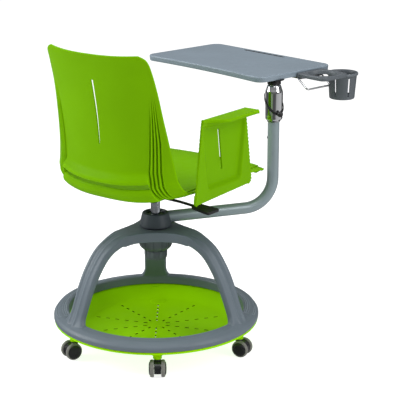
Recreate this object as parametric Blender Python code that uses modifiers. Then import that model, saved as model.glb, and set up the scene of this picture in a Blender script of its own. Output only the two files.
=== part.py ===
"""Student desk chair: a swivelling one-armed shell seat on a caster base with a storage tray,
and a writing tablet on a swing arm that turns about the same column.

Metres, +Z up. The sitter faces -Y, so the sitter's right is -X. The floor is Z = 0 and the
origin is the middle of the whole object's footprint. Heights are those of the chair with the
seat and the tablet at their lowest.
"""

import math

import bmesh
import bpy
from mathutils import Matrix, Vector

# Driving dimensions
COLUMN = (0.0259, 0.1576)  # where the column stands, from the middle of the footprint
GAP = 0.0003  # between pieces that touch

LEG_ANGLES = (69.3, 189.3, 309.3)
CASTER_ANGLES = tuple(9.3 + 60 * k for k in range(6))
CASTER_SWIVEL_RADIUS = 0.2764
CASTER_TRAIL = 0.010
WHEEL_RADIUS = 0.025

TRAY_RIM_Z = 0.0782
RING_OUTER = 0.3055
CROWN_TOP = 0.3540
CROWN_BOTTOM = 0.3247
LEG_WIDTH = 0.068

CYLINDER_RADIUS = 0.0248
CYLINDER_BOTTOM = 0.2625
CYLINDER_TOP = 0.3915
ROD_RADIUS = 0.0140
ROD_BOTTOM = 0.2740
ROD_TOP = 0.4740

HUB_BOTTOM = 0.3573
HUB_TOP = 0.3980
ARM_AZIMUTH = math.radians(237.4)  # of the desk arm's horizontal run
ARM_RADIUS = 0.3730
ARM_HEIGHT = 0.3790
ARM_BEND = 0.0870
TUBE_RADIUS = 0.0175
TUBE_BORE = 0.0155
POST_TOP = 0.7000

SLEEVE_BOTTOM = 0.6450
SLEEVE_TOP = 0.7490
SLEEVE_RADIUS = 0.0265
PLUG_AZIMUTH = 37.0  # of the small plug in the post's side
PLUG_HEIGHT = 0.5900
LOOP_AZIMUTH = 156.0  # of the release loop's low end and knob
LOOP_LOW = 0.6675  # height of that end
LOOP_RADIUS = 0.0303
LOOP_RISE = 0.0300  # half of the loop's slant
MAST_RADIUS = 0.0148
MAST_BORE = 0.0128
MAST_BOTTOM = 0.5600

TABLET_SIZE = (0.5120, 0.3100)
TABLET_CENTRE = (0.0135, -0.4270)
TABLET_TURN = math.radians(-10.43)
TABLET_BOTTOM = 0.7675
TABLET_TOP = 0.7850
TABLET_CORNER = 0.030
TABLET_HOLLOW = 0.010  # depth of the shallow curve in the sitter's edge
# The cup and its plate are placed from the middle of the tablet
CUP_PLATE = ((-0.3650, -0.1080), (-0.2563, 0.0040))
CUP_HOLE_CENTRE = (-0.3050, -0.0520, 0.0)
CUP_HOLE_RADIUS = 0.0375
CUP_CENTRE = (-0.2965, -0.1560, 0.0)
BAIL_AXIS = (-0.2535, -0.0560)
BAIL_HEIGHT = 0.7631

SHELL_THICKNESS = 0.0050
INSERT_THICKNESS = 0.0050
ARMREST_INNER_X = -0.2460
ARMREST_WEB = 0.0050
ARMREST_DEPTH = 0.0150
# The panel's corners and its recess's, as y and z: rear low, rear high, front high, front low
ARMREST_OUTLINE = ((0.1500, 0.4950), (0.1170, 0.7220), (-0.0860, 0.7220), (-0.1175, 0.5050))
ARMREST_RECESS = ((0.0900, 0.5300), (0.1040, 0.7080), (-0.0760, 0.7080), (-0.0620, 0.5300))
SLIT_LEAN = math.radians(7.4)

# The seat surface as stations from the front edge, over the seat and up the back:
# centre y and z, half width, then y and z at the side rim.
SEAT_STATIONS = (
    (-0.300, 0.484, 0.165, -0.285, 0.484),
    (-0.306, 0.494, 0.182, -0.286, 0.495),
    (-0.296, 0.502, 0.195, -0.272, 0.503),
    (-0.250, 0.503, 0.205, -0.235, 0.510),
    (-0.170, 0.499, 0.214, -0.165, 0.517),
    (-0.080, 0.495, 0.220, -0.080, 0.521),
    (0.010, 0.494, 0.2235, 0.005, 0.523),
    (0.090, 0.496, 0.225, 0.075, 0.525),
    (0.155, 0.500, 0.225, 0.120, 0.528),
    (0.200, 0.508, 0.224, 0.148, 0.538),
    (0.226, 0.523, 0.222, 0.163, 0.550),
    (0.234, 0.539, 0.220, 0.172, 0.563),
    (0.236, 0.551, 0.218, 0.177, 0.575),
    (0.234, 0.600, 0.212, 0.186, 0.620),
    (0.237, 0.665, 0.2045, 0.196, 0.675),
    (0.245, 0.735, 0.196, 0.207, 0.740),
    (0.257, 0.805, 0.188, 0.218, 0.805),
    (0.270, 0.865, 0.180, 0.234, 0.865),
    (0.278, 0.900, 0.172, 0.246, 0.898),
    (0.281, 0.914, 0.152, 0.256, 0.913),
)
LUMBAR_SLOT = (11, 12)  # the stations it lies between
LUMBAR_SLOT_REACH = 0.72  # of the half width, each side
SHELL_COLUMNS = 16
SHELL_ROWS_PER_STATION = 1
ROUND_STEPS = 48  # facets round the tray and the ring

SCENE = bpy.context.scene
COLOURS = {
    "lime": ((0.190, 0.420, 0.002), 0.42, 0.0),
    "lime_dark": ((0.150, 0.340, 0.002), 0.45, 0.0),
    "base_grey": ((0.090, 0.115, 0.130), 0.50, 0.0),
    "hub_grey": ((0.040, 0.052, 0.062), 0.50, 0.0),
    "tablet_grey": ((0.230, 0.285, 0.345), 0.45, 0.0),
    "cup_grey": ((0.100, 0.115, 0.130), 0.50, 0.0),
    "silver": ((0.330, 0.370, 0.370), 0.35, 0.6),
    "chrome": ((0.600, 0.600, 0.620), 0.12, 1.0),
    "steel": ((0.400, 0.410, 0.430), 0.30, 1.0),
    "black": ((0.012, 0.012, 0.013), 0.45, 0.0),
    "tread": ((0.110, 0.112, 0.105), 0.60, 0.0),
}


def clear_scene():
    for obj in list(bpy.data.objects):
        bpy.data.objects.remove(obj, do_unlink=True)


def new_collection(name):
    collection = bpy.data.collections.new(name)
    SCENE.collection.children.link(collection)
    return collection


def new_material(name):
    colour, roughness, metallic = COLOURS[name]
    material = bpy.data.materials.new(name)
    material.use_nodes = True
    shader = material.node_tree.nodes["Principled BSDF"]
    shader.inputs["Base Color"].default_value = (*colour, 1.0)
    shader.inputs["Roughness"].default_value = roughness
    shader.inputs["Metallic"].default_value = metallic
    material.diffuse_color = (*colour, 1.0)
    return material


clear_scene()
PARTS = new_collection("student_desk_chair")
HELPERS = new_collection("cutters")
MATERIALS = {name: new_material(name) for name in COLOURS}


# Tools

def polar(radius, degrees, z=0.0):
    angle = math.radians(degrees)
    return Vector((radius * math.cos(angle), radius * math.sin(angle), z))


def pivot(name, location, parent=None, turn=0.0):
    """An empty on a joint's axis or at a sub-assembly's reference point."""
    empty = bpy.data.objects.new(name, None)
    empty.empty_display_size = 0.03
    empty.location = location
    empty.rotation_euler = (0.0, 0.0, turn)
    empty.parent = parent
    PARTS.objects.link(empty)
    return empty


def place(obj, parent, location=(0, 0, 0), rotation=(0, 0, 0)):
    obj.location = location
    obj.rotation_euler = rotation
    obj.parent = parent
    return obj


def make(name, mesh, colour=None):
    """A named part in its material or, without a colour, a hidden cutter or union helper."""
    obj = bpy.data.objects.new(name, mesh)
    if colour:
        PARTS.objects.link(obj)
        mesh.materials.append(MATERIALS[colour])
    else:
        HELPERS.objects.link(obj)
        obj.hide_render = True
        obj.display_type = "WIRE"
    return obj


def mesh_from(name, bm):
    bmesh.ops.recalc_face_normals(bm, faces=bm.faces)
    mesh = bpy.data.meshes.new(name)
    bm.to_mesh(mesh)
    bm.free()
    return mesh


def turned(name, profile, steps, colour=None, closed=False):
    """A profile of (radius, z) points, outer side from top to bottom, turned about Z."""
    bm = bmesh.new()
    points = [bm.verts.new((radius, 0.0, z)) for radius, z in profile]
    for first, second in zip(points, points[1:]):
        bm.edges.new((first, second))
    if closed:
        bm.edges.new((points[-1], points[0]))
    mesh = bpy.data.meshes.new(name)
    bm.to_mesh(mesh)
    bm.free()
    obj = make(name, mesh, colour)
    screw = obj.modifiers.new("Turn", "SCREW")
    screw.steps = screw.render_steps = steps
    screw.use_merge_vertices = True
    screw.merge_threshold = 0.00001
    return obj


def cylinder(name, radius, bottom, top, steps=24, colour=None):
    return turned(name, ((0, top), (radius, top), (radius, bottom), (0, bottom)), steps, colour)


def block(name, low, high, colour=None, bevel=0.0):
    """A box between two corners, with rounded edges where bevel is given."""
    bm = bmesh.new()
    bmesh.ops.create_cube(bm, size=1.0)
    size = [b - a for a, b in zip(low, high)]
    middle = [(a + b) / 2 for a, b in zip(low, high)]
    bmesh.ops.scale(bm, vec=size, verts=bm.verts)
    bmesh.ops.translate(bm, vec=middle, verts=bm.verts)
    obj = make(name, mesh_from(name, bm), colour)
    if bevel:
        round_edges(obj, bevel)
    return obj


def round_edges(obj, width, segments=2, angle=40):
    bevel = obj.modifiers.new("Round", "BEVEL")
    bevel.width = width
    bevel.segments = segments
    bevel.limit_method = "ANGLE"
    bevel.angle_limit = math.radians(angle)
    return bevel


def boolean(obj, operation, *others):
    for other in others:
        modifier = obj.modifiers.new(operation.title(), "BOOLEAN")
        modifier.operation = operation
        modifier.object = other
        modifier.solver = "EXACT"


def loft(name, rings, colour=None):
    """A closed solid through rings of equally many points."""
    bm = bmesh.new()
    loops = [[bm.verts.new(point) for point in ring] for ring in rings]
    count = len(loops[0])
    for lower, upper in zip(loops, loops[1:]):
        for i in range(count):
            j = (i + 1) % count
            bm.faces.new((lower[i], lower[j], upper[j], upper[i]))
    bm.faces.new(list(reversed(loops[0])))
    bm.faces.new(loops[-1])
    return make(name, mesh_from(name, bm), colour)


def baked_mesh(obj):
    """The object's evaluated mesh, with a curve's loose caps welded; the object goes."""
    bpy.context.view_layer.update()
    graph = bpy.context.evaluated_depsgraph_get()
    mesh = bpy.data.meshes.new_from_object(obj.evaluated_get(graph))
    bm = bmesh.new()
    bm.from_mesh(mesh)
    bmesh.ops.remove_doubles(bm, verts=bm.verts, dist=0.000002)
    bm.to_mesh(mesh)
    bm.free()
    bpy.data.objects.remove(obj, do_unlink=True)
    return mesh


def curve_object(name, points, cyclic=False):
    curve = bpy.data.curves.new(name, "CURVE")
    curve.dimensions = "3D"
    spline = curve.splines.new("POLY")
    spline.points.add(len(points) - 1)
    for spline_point, point in zip(spline.points, points):
        spline_point.co = (*point, 1.0)
    spline.use_cyclic_u = cyclic
    obj = bpy.data.objects.new(name, curve)
    HELPERS.objects.link(obj)
    return obj


def wire(name, points, radius, colour, resolution=2, cyclic=False):
    """A round bar or tube along a path."""
    obj = curve_object(name, points, cyclic)
    obj.data.bevel_depth = radius
    obj.data.bevel_resolution = resolution
    obj.data.use_fill_caps = True
    return make(name, baked_mesh(obj), colour)


def plate(name, outline, bottom, top, colour=None):
    """A flat outline of (x, y) points, extruded from bottom to top."""
    half = (top - bottom) / 2
    obj = curve_object(name, [(x, y, 0.0) for x, y in outline], cyclic=True)
    obj.data.dimensions = "2D"
    obj.data.fill_mode = "BOTH"
    obj.data.extrude = half
    mesh = baked_mesh(obj)
    mesh.transform(Matrix.Translation((0.0, 0.0, bottom + half)))
    return make(name, mesh, colour)


def arc(centre, radius, start, end, steps):
    """Points on a circle in the plane, from one angle in degrees to another."""
    found = []
    for k in range(steps + 1):
        angle = math.radians(start + (end - start) * k / steps)
        found.append((centre[0] + radius * math.cos(angle), centre[1] + radius * math.sin(angle)))
    return found


def smooth_round(obj, angle=35):
    obj.data.shade_smooth()
    obj.data.set_sharp_from_angle(angle=math.radians(angle))


# The fixed base

def leg_rings():
    """Sections down one leg, which lies in the XZ plane: outer and inner face, and width."""
    stations = (
        ((0.036, 0.3535), (0.036, 0.3255), 0.078),
        ((0.090, 0.3535), (0.085, 0.3255), 0.074),
        ((0.140, 0.3450), (0.126, 0.3205), 0.070),
        ((0.180, 0.3220), (0.156, 0.3030), LEG_WIDTH),
        ((0.212, 0.2830), (0.186, 0.2700), LEG_WIDTH),
        ((0.240, 0.2320), (0.211, 0.2240), LEG_WIDTH),
        ((0.262, 0.1800), (0.234, 0.1740), LEG_WIDTH),
        ((0.278, 0.1350), (0.251, 0.1300), 0.074),
        ((0.288, 0.1120), (0.259, 0.1080), 0.094),
        ((0.293, 0.0960), (0.267, 0.0930), 0.132),
    )
    rings = []
    for outer, inner, width in stations:
        half = width / 2
        rings.append((
            (outer[0], -half, outer[1]),
            (outer[0], half, outer[1]),
            (inner[0], half, inner[1]),
            (inner[0], -half, inner[1]),
        ))
    return rings


def build_base_frame(root):
    """Crown, three legs and foot ring: one grey moulding."""
    ring_profile = (
        (0.2655, 0.0990), (0.2700, 0.1060), (0.2880, 0.1030), (0.3010, 0.0945),
        (RING_OUTER, 0.0870), (0.3040, TRAY_RIM_Z + 0.0005), (0.2665, TRAY_RIM_Z + 0.0005),
    )
    frame = turned("base_frame", ring_profile, ROUND_STEPS, "base_grey", closed=True)
    place(frame, root)
    crown = cylinder("crown_disc", 0.0700, CROWN_BOTTOM, CROWN_TOP, 36)
    boolean(frame, "UNION", place(crown, root))
    for index, angle in enumerate(LEG_ANGLES):
        leg = loft(f"leg_{index}", leg_rings())
        round_edges(leg, 0.006, segments=1, angle=60)
        boolean(frame, "UNION", place(leg, root, rotation=(0, 0, math.radians(angle))))
    bore = cylinder("column_bore", CYLINDER_RADIUS + GAP, 0.30, 0.38, 32)
    boolean(frame, "DIFFERENCE", place(bore, root))


def build_tray(root):
    """Dished green tray with the flange under the ring and a stub for each caster."""
    profile = (
        (0.0, 0.0445), (0.2080, 0.0445), (0.2350, 0.0520), (0.2615, 0.0740), (0.2640, TRAY_RIM_Z),
        (0.3035, TRAY_RIM_Z), (0.3035, 0.0712), (0.2680, 0.0700), (0.2600, 0.0660),
        (0.2370, 0.0470), (0.2060, 0.0415), (0.0, 0.0400),
    )
    tray = place(turned("storage_tray", profile, ROUND_STEPS, "lime_dark"), root)
    for index, angle in enumerate(CASTER_ANGLES):
        at = polar(CASTER_SWIVEL_RADIUS, angle)
        stub_profile = ((0, 0.074), (0.019, 0.074), (0.019, 0.066), (0.0126, 0.060),
                        (0.0126, 0.0515), (0, 0.0515))
        stub = place(turned(f"caster_stub_{index}", stub_profile, 16), root, at)
        socket = place(cylinder(f"stem_socket_{index}", 0.0058, 0.040, 0.0705, 12), root, at)
        boolean(tray, "UNION", stub)
        boolean(tray, "DIFFERENCE", socket)


def build_column(root):
    """Gas spring cylinder in the crown, its ribbed nut and end cap, and the bearing washer."""
    neck = ROD_RADIUS + 0.0005
    cylinder_profile = (
        (neck, CYLINDER_TOP), (CYLINDER_RADIUS, CYLINDER_TOP - 0.001),
        (CYLINDER_RADIUS, CYLINDER_BOTTOM), (0, CYLINDER_BOTTOM),
        (0, CYLINDER_BOTTOM + 0.006), (0.0195, CYLINDER_BOTTOM + 0.006),
        (0.0195, CYLINDER_TOP - 0.012), (neck, CYLINDER_TOP - 0.012),
    )
    gas = turned_cup("gas_cylinder", cylinder_profile, 32, "black")
    place(gas, root)

    rings = []
    for z, reach in ((0.2840, 0.0365), (0.2935, 0.0480), (CROWN_BOTTOM - GAP, 0.0490)):
        ring = []
        for k in range(72):
            flute = 0.0016 if k % 3 == 0 else 0.0
            ring.append(polar(reach - flute, 5 * k, z))
        rings.append(ring)
    nut = place(loft("column_nut", rings, "hub_grey"), root)
    nut_bore = place(cylinder("nut_bore", CYLINDER_RADIUS + GAP, 0.27, 0.34, 32), root)
    boolean(nut, "DIFFERENCE", nut_bore)

    inner = CYLINDER_RADIUS + GAP
    cap_profile = (
        (inner, 0.2836), (0.0325, 0.2836), (0.0325, 0.2590), (0.0300, 0.2560), (0, 0.2560),
        (0, CYLINDER_BOTTOM - GAP), (inner, CYLINDER_BOTTOM - GAP),
    )
    place(turned_cup("column_end_cap", cap_profile, 32, "base_grey"), root)

    washer_profile = (
        (inner, 0.3569), (0.0440, 0.3569), (0.0440, CROWN_TOP + GAP), (inner, CROWN_TOP + GAP),
    )
    place(turned("hub_bearing_washer", washer_profile, 32, "black", closed=True), root)


def turned_cup(name, profile, steps, colour):
    """A turned cup: the profile loop touches the axis along one edge, which is left out."""
    start = next(i for i, point in enumerate(profile) if point[0] == 0)
    order = profile[start + 1:] + profile[:start + 1]
    return turned(name, order, steps, colour)


# The desk arm, which turns about the column

def arm_point(radius, z):
    return Vector((radius * math.cos(ARM_AZIMUTH), radius * math.sin(ARM_AZIMUTH), z))


def arm_path(start, end):
    """The desk arm's centre line: out from the hub at radius start, up to height end."""
    path = [arm_point(start, ARM_HEIGHT)]
    steps = 8
    for k in range(steps + 1):
        angle = math.radians(90 * k / steps)
        radius = ARM_RADIUS - ARM_BEND + ARM_BEND * math.sin(angle)
        path.append(arm_point(radius, ARM_HEIGHT + ARM_BEND * (1 - math.cos(angle))))
    path.append(arm_point(ARM_RADIUS, end))
    return path


def build_desk_arm(hub_pivot):
    inner = CYLINDER_RADIUS + 0.0006
    hub_profile = (
        (inner, HUB_TOP), (0.0370, HUB_TOP), (0.0388, HUB_TOP - 0.002),
        (0.0476, HUB_BOTTOM + 0.003), (0.0470, HUB_BOTTOM), (inner, HUB_BOTTOM),
    )
    hub = place(turned("desk_arm_hub", hub_profile, 32, "hub_grey", closed=True), hub_pivot)
    socket = cylinder("tube_socket", TUBE_RADIUS + GAP, 0.0, 0.040, 20)
    place(socket, hub_pivot, arm_point(0.0300, ARM_HEIGHT), (0, math.pi / 2, ARM_AZIMUTH))
    boolean(hub, "DIFFERENCE", socket)

    tube = wire("desk_arm_tube", arm_path(0.0303, POST_TOP), TUBE_RADIUS, "silver", resolution=5)
    hollow = wire("tube_hollow", arm_path(0.0200, POST_TOP + 0.01), TUBE_BORE, None, resolution=5)
    boolean(place(tube, hub_pivot), "DIFFERENCE", place(hollow, hub_pivot))

    post = pivot("post_axis", arm_point(ARM_RADIUS, 0), hub_pivot)
    plug = cylinder("tube_plug", 0.0035, 0.0, 0.0018, 12, "black")
    plug_at = polar(TUBE_RADIUS + GAP, PLUG_AZIMUTH, PLUG_HEIGHT)
    place(plug, post, plug_at, (0, math.pi / 2, math.radians(PLUG_AZIMUTH)))

    around_tube = TUBE_RADIUS + 0.0004
    around_mast = MAST_RADIUS + 0.0005
    sleeve_profile = (
        (around_mast, SLEEVE_TOP), (0.0190, SLEEVE_TOP), (0.0208, SLEEVE_TOP - 0.004),
        (SLEEVE_RADIUS, SLEEVE_TOP - 0.013), (SLEEVE_RADIUS, SLEEVE_BOTTOM + 0.004),
        (0.0215, SLEEVE_BOTTOM), (around_tube, SLEEVE_BOTTOM),
        (around_tube, POST_TOP + GAP), (around_mast, POST_TOP + GAP),
    )
    place(turned("mast_sleeve", sleeve_profile, 28, "chrome", closed=True), post)

    ring_profile = (
        (around_tube, SLEEVE_BOTTOM - GAP), (0.0203, SLEEVE_BOTTOM - GAP),
        (0.0203, 0.6395), (around_tube, 0.6395),
    )
    place(turned("sleeve_end_ring", ring_profile, 32, "steel", closed=True), post)
    return post


def build_release_loop(post):
    """Slanting ring lever that slides up the sleeve, with a round knob at its low end."""
    low_side = math.radians(LOOP_AZIMUTH)
    slide = pivot("release_axis", (0, 0, LOOP_LOW), post, low_side)
    knob_profile = (
        (0, 0.0070), (0.0060, 0.0065), (0.0083, 0.0035), (0.0090, 0.0), (0.0083, -0.0030),
        (0, -0.0030),
    )
    knob = turned("release_knob", knob_profile, 20, "black")
    place(knob, slide, (LOOP_RADIUS + 0.0067, 0, 0), (0, math.pi / 2, 0))

    points = []
    for k in range(24):
        angle = 2 * math.pi * k / 24
        points.append((LOOP_RADIUS * math.cos(angle), LOOP_RADIUS * math.sin(angle),
                       LOOP_RISE * (1 - math.cos(angle))))
    place(wire("release_loop", points, 0.0030, "black", resolution=1, cyclic=True), slide)


def build_mast(post):
    mast_profile = (
        (MAST_BORE, 0.7610), (MAST_RADIUS, 0.7610), (MAST_RADIUS, MAST_BOTTOM), (MAST_BORE, MAST_BOTTOM),
    )
    place(turned("mast_tube", mast_profile, 20, "steel", closed=True), post)
    inner = MAST_RADIUS + GAP
    collar_profile = (
        (inner, 0.7617), (0.0192, 0.7617), (0.0200, 0.7600), (0.0200, 0.7515), (inner, 0.7515),
    )
    place(turned("mast_collar", collar_profile, 32, "black", closed=True), post)


# The tablet, which turns about the mast

def tablet_outline():
    """Rounded rectangle whose edge on the sitter's side is slightly hollow."""
    half_x, half_y = TABLET_SIZE[0] / 2, TABLET_SIZE[1] / 2
    corner = TABLET_CORNER
    points = []
    for sign_x, sign_y, start in ((1, 1, 0), (-1, 1, 90), (-1, -1, 180), (1, -1, 270)):
        centre = (sign_x * (half_x - corner), sign_y * (half_y - corner))
        points += arc(centre, corner, start, start + 90, 6)
        if (sign_x, sign_y) == (1, 1):
            inner = half_x - corner
            for k in range(1, 12):
                x = inner - 2 * inner * k / 12
                points.append((x, half_y - TABLET_HOLLOW * (1 - (x / inner) ** 2)))
    return points


def build_tablet(tablet_pivot, tablet):
    mount = turned("tablet_mount", (
        (0, 0.7672), (0.0300, 0.7672), (0.0300, 0.7650), (0.0200, 0.7620), (0, 0.7620),
    ), 32, "black")
    place(mount, tablet_pivot)
    top = plate("tablet_top", tablet_outline(), TABLET_BOTTOM, TABLET_TOP, "tablet_grey")
    round_edges(top, 0.0030, segments=2)
    place(top, tablet)
    groove = block("pencil_groove", (-0.07, -0.1350, TABLET_TOP - 0.003),
                   (0.10, -0.1230, TABLET_TOP + 0.01))
    boolean(top, "DIFFERENCE", place(groove, tablet))


def build_cup_holder(tablet):
    corner = 0.016
    low, high = CUP_PLATE
    outline = []
    for x, y, start, radius in (
        (high[0], high[1], 0, 0.003), (low[0], high[1], 90, corner),
        (low[0], low[1], 180, corner), (high[0], low[1], 270, 0.003),
    ):
        centre_x = x - radius if x == high[0] else x + radius
        centre_y = y - radius if y == high[1] else y + radius
        outline += arc((centre_x, centre_y), radius, start, start + 90, 4)
    holder = plate("cup_holder_plate", outline, 0.7675, 0.7792, "tablet_grey")
    round_edges(holder, 0.0020, segments=1)
    place(holder, tablet)
    hole = cylinder("cup_hole", CUP_HOLE_RADIUS, 0.75, 0.80, 36)
    boolean(holder, "DIFFERENCE", place(hole, tablet, CUP_HOLE_CENTRE))

    bracket = block("bail_bracket", (-0.2640, -0.1020, 0.7590), (-0.2120, -0.0100, 0.7672), "steel")
    place(bracket, tablet)
    for index, y in enumerate((-0.1020, -0.0100)):
        hole = cylinder(f"bail_hole_{index}", 0.0028, -0.009, 0.009, 12)
        place(hole, tablet, (BAIL_AXIS[0], y, BAIL_HEIGHT), (math.pi / 2, 0, 0))
        boolean(bracket, "DIFFERENCE", hole)


def build_cup_bail(bail_pivot):
    """Wire rest under the cup hole: its ends turn in and sit in the bracket."""
    reach = (-0.0395, -0.0300)
    points = (
        (0, 0.0380, 0), (0, 0.0510, 0), (reach[0], 0.0510, reach[1]),
        (reach[0], -0.0510, reach[1]), (0, -0.0510, 0), (0, -0.0380, 0),
    )
    place(wire("cup_bail", points, 0.0024, "chrome", resolution=2), bail_pivot)


def build_pencil_cup(tablet):
    bottom, top = 0.6870, 0.7672
    profile = (
        (0.0418, top), (0.0470, top), (0.0475, top - 0.003), (0.0445, top - 0.007),
        (0.0385, bottom + 0.002), (0.0365, bottom), (0, bottom),
        (0, bottom + 0.003), (0.0358, bottom + 0.003), (0.0415, top - 0.007),
    )
    cup = turned_cup("pencil_cup", profile, 36, "cup_grey")
    place(cup, tablet, CUP_CENTRE)
    for k in range(6):
        slot = block(f"cup_slot_{k}", (0.030, -0.0014, bottom + 0.010), (0.050, 0.0014, top - 0.014))
        place(slot, tablet, CUP_CENTRE, (0, 0, math.radians(60 * k + 15)))
        boolean(cup, "DIFFERENCE", slot)


# The seat, which rises and turns on the gas spring rod

def catmull_rom(before, start, end, after, t):
    return 0.5 * (
        2 * start + (end - before) * t + (2 * before - 5 * start + 4 * end - after) * t ** 2
        + (3 * start - before - 3 * end + after) * t ** 3
    )


def seat_station(t):
    """Smooth values between the seat's stations; t counts stations."""
    last = len(SEAT_STATIONS) - 1
    index = min(int(t), last - 1)
    near = [SEAT_STATIONS[min(max(index + k, 0), last)] for k in (-1, 0, 1, 2)]
    return [catmull_rom(*values, t - index) for values in zip(*near)]


def seat_point(u, t):
    """A point of the upper surface: u runs across from -1 to 1, t along the stations."""
    y, z, half_width, rim_y, rim_z = seat_station(t)
    power = 3.0 if t < LUMBAR_SLOT[0] else 2.4
    share = abs(u) ** power
    return Vector((half_width * u, y + (rim_y - y) * share, z + (rim_z - z) * share))


def seat_normal(u, t):
    """Unit normal on the sitter's side."""
    step = 0.02
    last = len(SEAT_STATIONS) - 1
    across = seat_point(min(u + step, 1), t) - seat_point(max(u - step, -1), t)
    along = seat_point(u, min(t + step, last)) - seat_point(u, max(t - step, 0))
    return across.cross(along).normalized()


def seat_sheet(name, columns, rows, lift, keep, colour):
    """An open sheet over the seat surface, raised by lift, with the faces that keep allows."""
    bm = bmesh.new()
    grid = [[bm.verts.new(seat_point(u, t) + seat_normal(u, t) * lift) for u in columns] for t in rows]
    for r in range(len(rows) - 1):
        for c in range(len(columns) - 1):
            if keep((columns[c] + columns[c + 1]) / 2, (rows[r] + rows[r + 1]) / 2):
                bm.faces.new((grid[r][c], grid[r][c + 1], grid[r + 1][c + 1], grid[r + 1][c]))
    bmesh.ops.delete(bm, geom=[v for v in bm.verts if not v.link_faces], context="VERTS")
    mesh = bpy.data.meshes.new(name)
    bm.to_mesh(mesh)
    bm.free()
    return make(name, mesh, colour)


def thicken(obj, thickness, offset):
    solidify = obj.modifiers.new("Thickness", "SOLIDIFY")
    solidify.thickness = thickness
    solidify.offset = offset
    solidify.use_even_offset = True


def build_seat(seat):
    columns = [-1 + 2 * k / SHELL_COLUMNS for k in range(SHELL_COLUMNS + 1)]
    stations = len(SEAT_STATIONS) - 1
    rows = [k / SHELL_ROWS_PER_STATION for k in range(stations * SHELL_ROWS_PER_STATION + 1)]

    def outside_slot(u, t):
        return not (LUMBAR_SLOT[0] < t < LUMBAR_SLOT[1] and abs(u) < LUMBAR_SLOT_REACH)

    shell = seat_sheet("seat_shell", columns, rows, 0.0, outside_slot, "lime")
    thicken(shell, SHELL_THICKNESS, -1)
    place(shell, seat)
    slit = loft("back_slit", (
        ((-0.0025, 0.20, 0.650), (0.0025, 0.20, 0.650), (0.0025, 0.32, 0.650), (-0.0025, 0.32, 0.650)),
        ((-0.0045, 0.20, 0.834), (0.0045, 0.20, 0.834), (0.0045, 0.32, 0.834), (-0.0045, 0.32, 0.834)),
    ))
    boolean(shell, "DIFFERENCE", place(slit, seat))
    smooth_round(shell)

    pad_columns = [u for u in columns if abs(u) < 0.85]
    pad_rows = [t for t in rows if 2.0 <= t <= 9.0]
    insert = seat_sheet("seat_insert", pad_columns, pad_rows, 0.0004, lambda u, t: True, "lime")
    thicken(insert, INSERT_THICKNESS, 1)
    place(insert, seat)
    smooth_round(insert)


def build_mechanism(seat):
    """Cast plate and housing under the shell, which the gas spring rod enters."""
    top = 0.4862
    plate_block = block("seat_mechanism", (-0.100, -0.100, 0.4822), (0.100, 0.120, top), "black", 0.0015)
    place(plate_block, seat)
    housing = block("mechanism_housing", (-0.060, -0.070, 0.4500), (0.060, 0.080, 0.4830), bevel=0.006)
    bore = cylinder("rod_bore", ROD_RADIUS + GAP, 0.43, ROD_TOP + 0.0005, 24)
    boolean(plate_block, "UNION", place(housing, seat))
    boolean(plate_block, "DIFFERENCE", place(bore, seat))


def build_armrest(seat):
    """Right armrest: a tapered panel with a recessed web and slit, and a flange on top."""
    outer_x = ARMREST_INNER_X - ARMREST_DEPTH

    def panel(name, corners, inner_x, outer, colour=None):
        rings = [[(x, y, z) for y, z in corners] for x in (inner_x, outer)]
        return loft(name, rings, colour)

    rest = panel("armrest_right", ARMREST_OUTLINE, ARMREST_INNER_X, outer_x, "lime")
    round_edges(rest, 0.003)
    place(rest, seat)
    flange = block("armrest_flange", (-0.3120, -0.0880, 0.7165), (ARMREST_INNER_X, 0.1190, 0.7300),
                   bevel=0.004)
    pocket = panel("armrest_pocket", ARMREST_RECESS, ARMREST_INNER_X - ARMREST_WEB, outer_x - 0.02)
    slit = block("armrest_slit", (-0.30, -0.0045, -0.060), (-0.22, 0.0045, 0.060))
    boolean(rest, "DIFFERENCE", place(pocket, seat))
    boolean(rest, "UNION", place(flange, seat))
    boolean(rest, "DIFFERENCE", place(slit, seat, (0, 0.0238, 0.6300), (-SLIT_LEAN, 0, 0)))

    # Steel bar from the mechanism, bent up behind the panel's lower edge and then its inside.
    foot, thickness = 0.4780, 0.0040
    outline = (
        (-0.0603 - GAP, foot), (-0.1850, foot), (-0.2455, 0.5060), (-0.2455, 0.5600),
        (-0.2455 + thickness, 0.5600), (-0.2455 + thickness, 0.5085),
        (-0.1837, foot + thickness), (-0.0603 - GAP, foot + thickness),
    )
    bar = plate("armrest_bracket", outline, -0.018, 0.018, "black")
    place(bar, seat, (0, -0.030, 0), (math.pi / 2, 0, 0))


def build_lift_lever(lever_pivot):
    """Stem and flat paddle of the height lever, in the lever pivot's own frame."""
    stem = wire("lift_lever_stem", ((-0.0065, 0, 0), (-0.070, 0.002, 0), (-0.1275, 0.012, 0)),
                0.0040, "black", resolution=2)
    place(stem, lever_pivot)
    outline = ((-0.1295, -0.006), (-0.1360, -0.010), (-0.2060, -0.001), (-0.2100, 0.006),
               (-0.2090, 0.048), (-0.2040, 0.052), (-0.1380, 0.034), (-0.1295, 0.026))
    paddle = plate("lift_lever_paddle", outline, -0.0040, 0.0040, "black")
    round_edges(paddle, 0.0020, segments=1)
    place(paddle, lever_pivot)


def build_gas_rod(lift):
    profile = (
        (0, ROD_TOP), (ROD_RADIUS - 0.001, ROD_TOP), (ROD_RADIUS, ROD_TOP - 0.002),
        (ROD_RADIUS, ROD_BOTTOM + 0.014), (0.0190, ROD_BOTTOM + 0.012), (0.0190, ROD_BOTTOM),
        (0, ROD_BOTTOM),
    )
    place(turned("gas_rod", profile, 24, "steel"), lift)


# Casters

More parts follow.
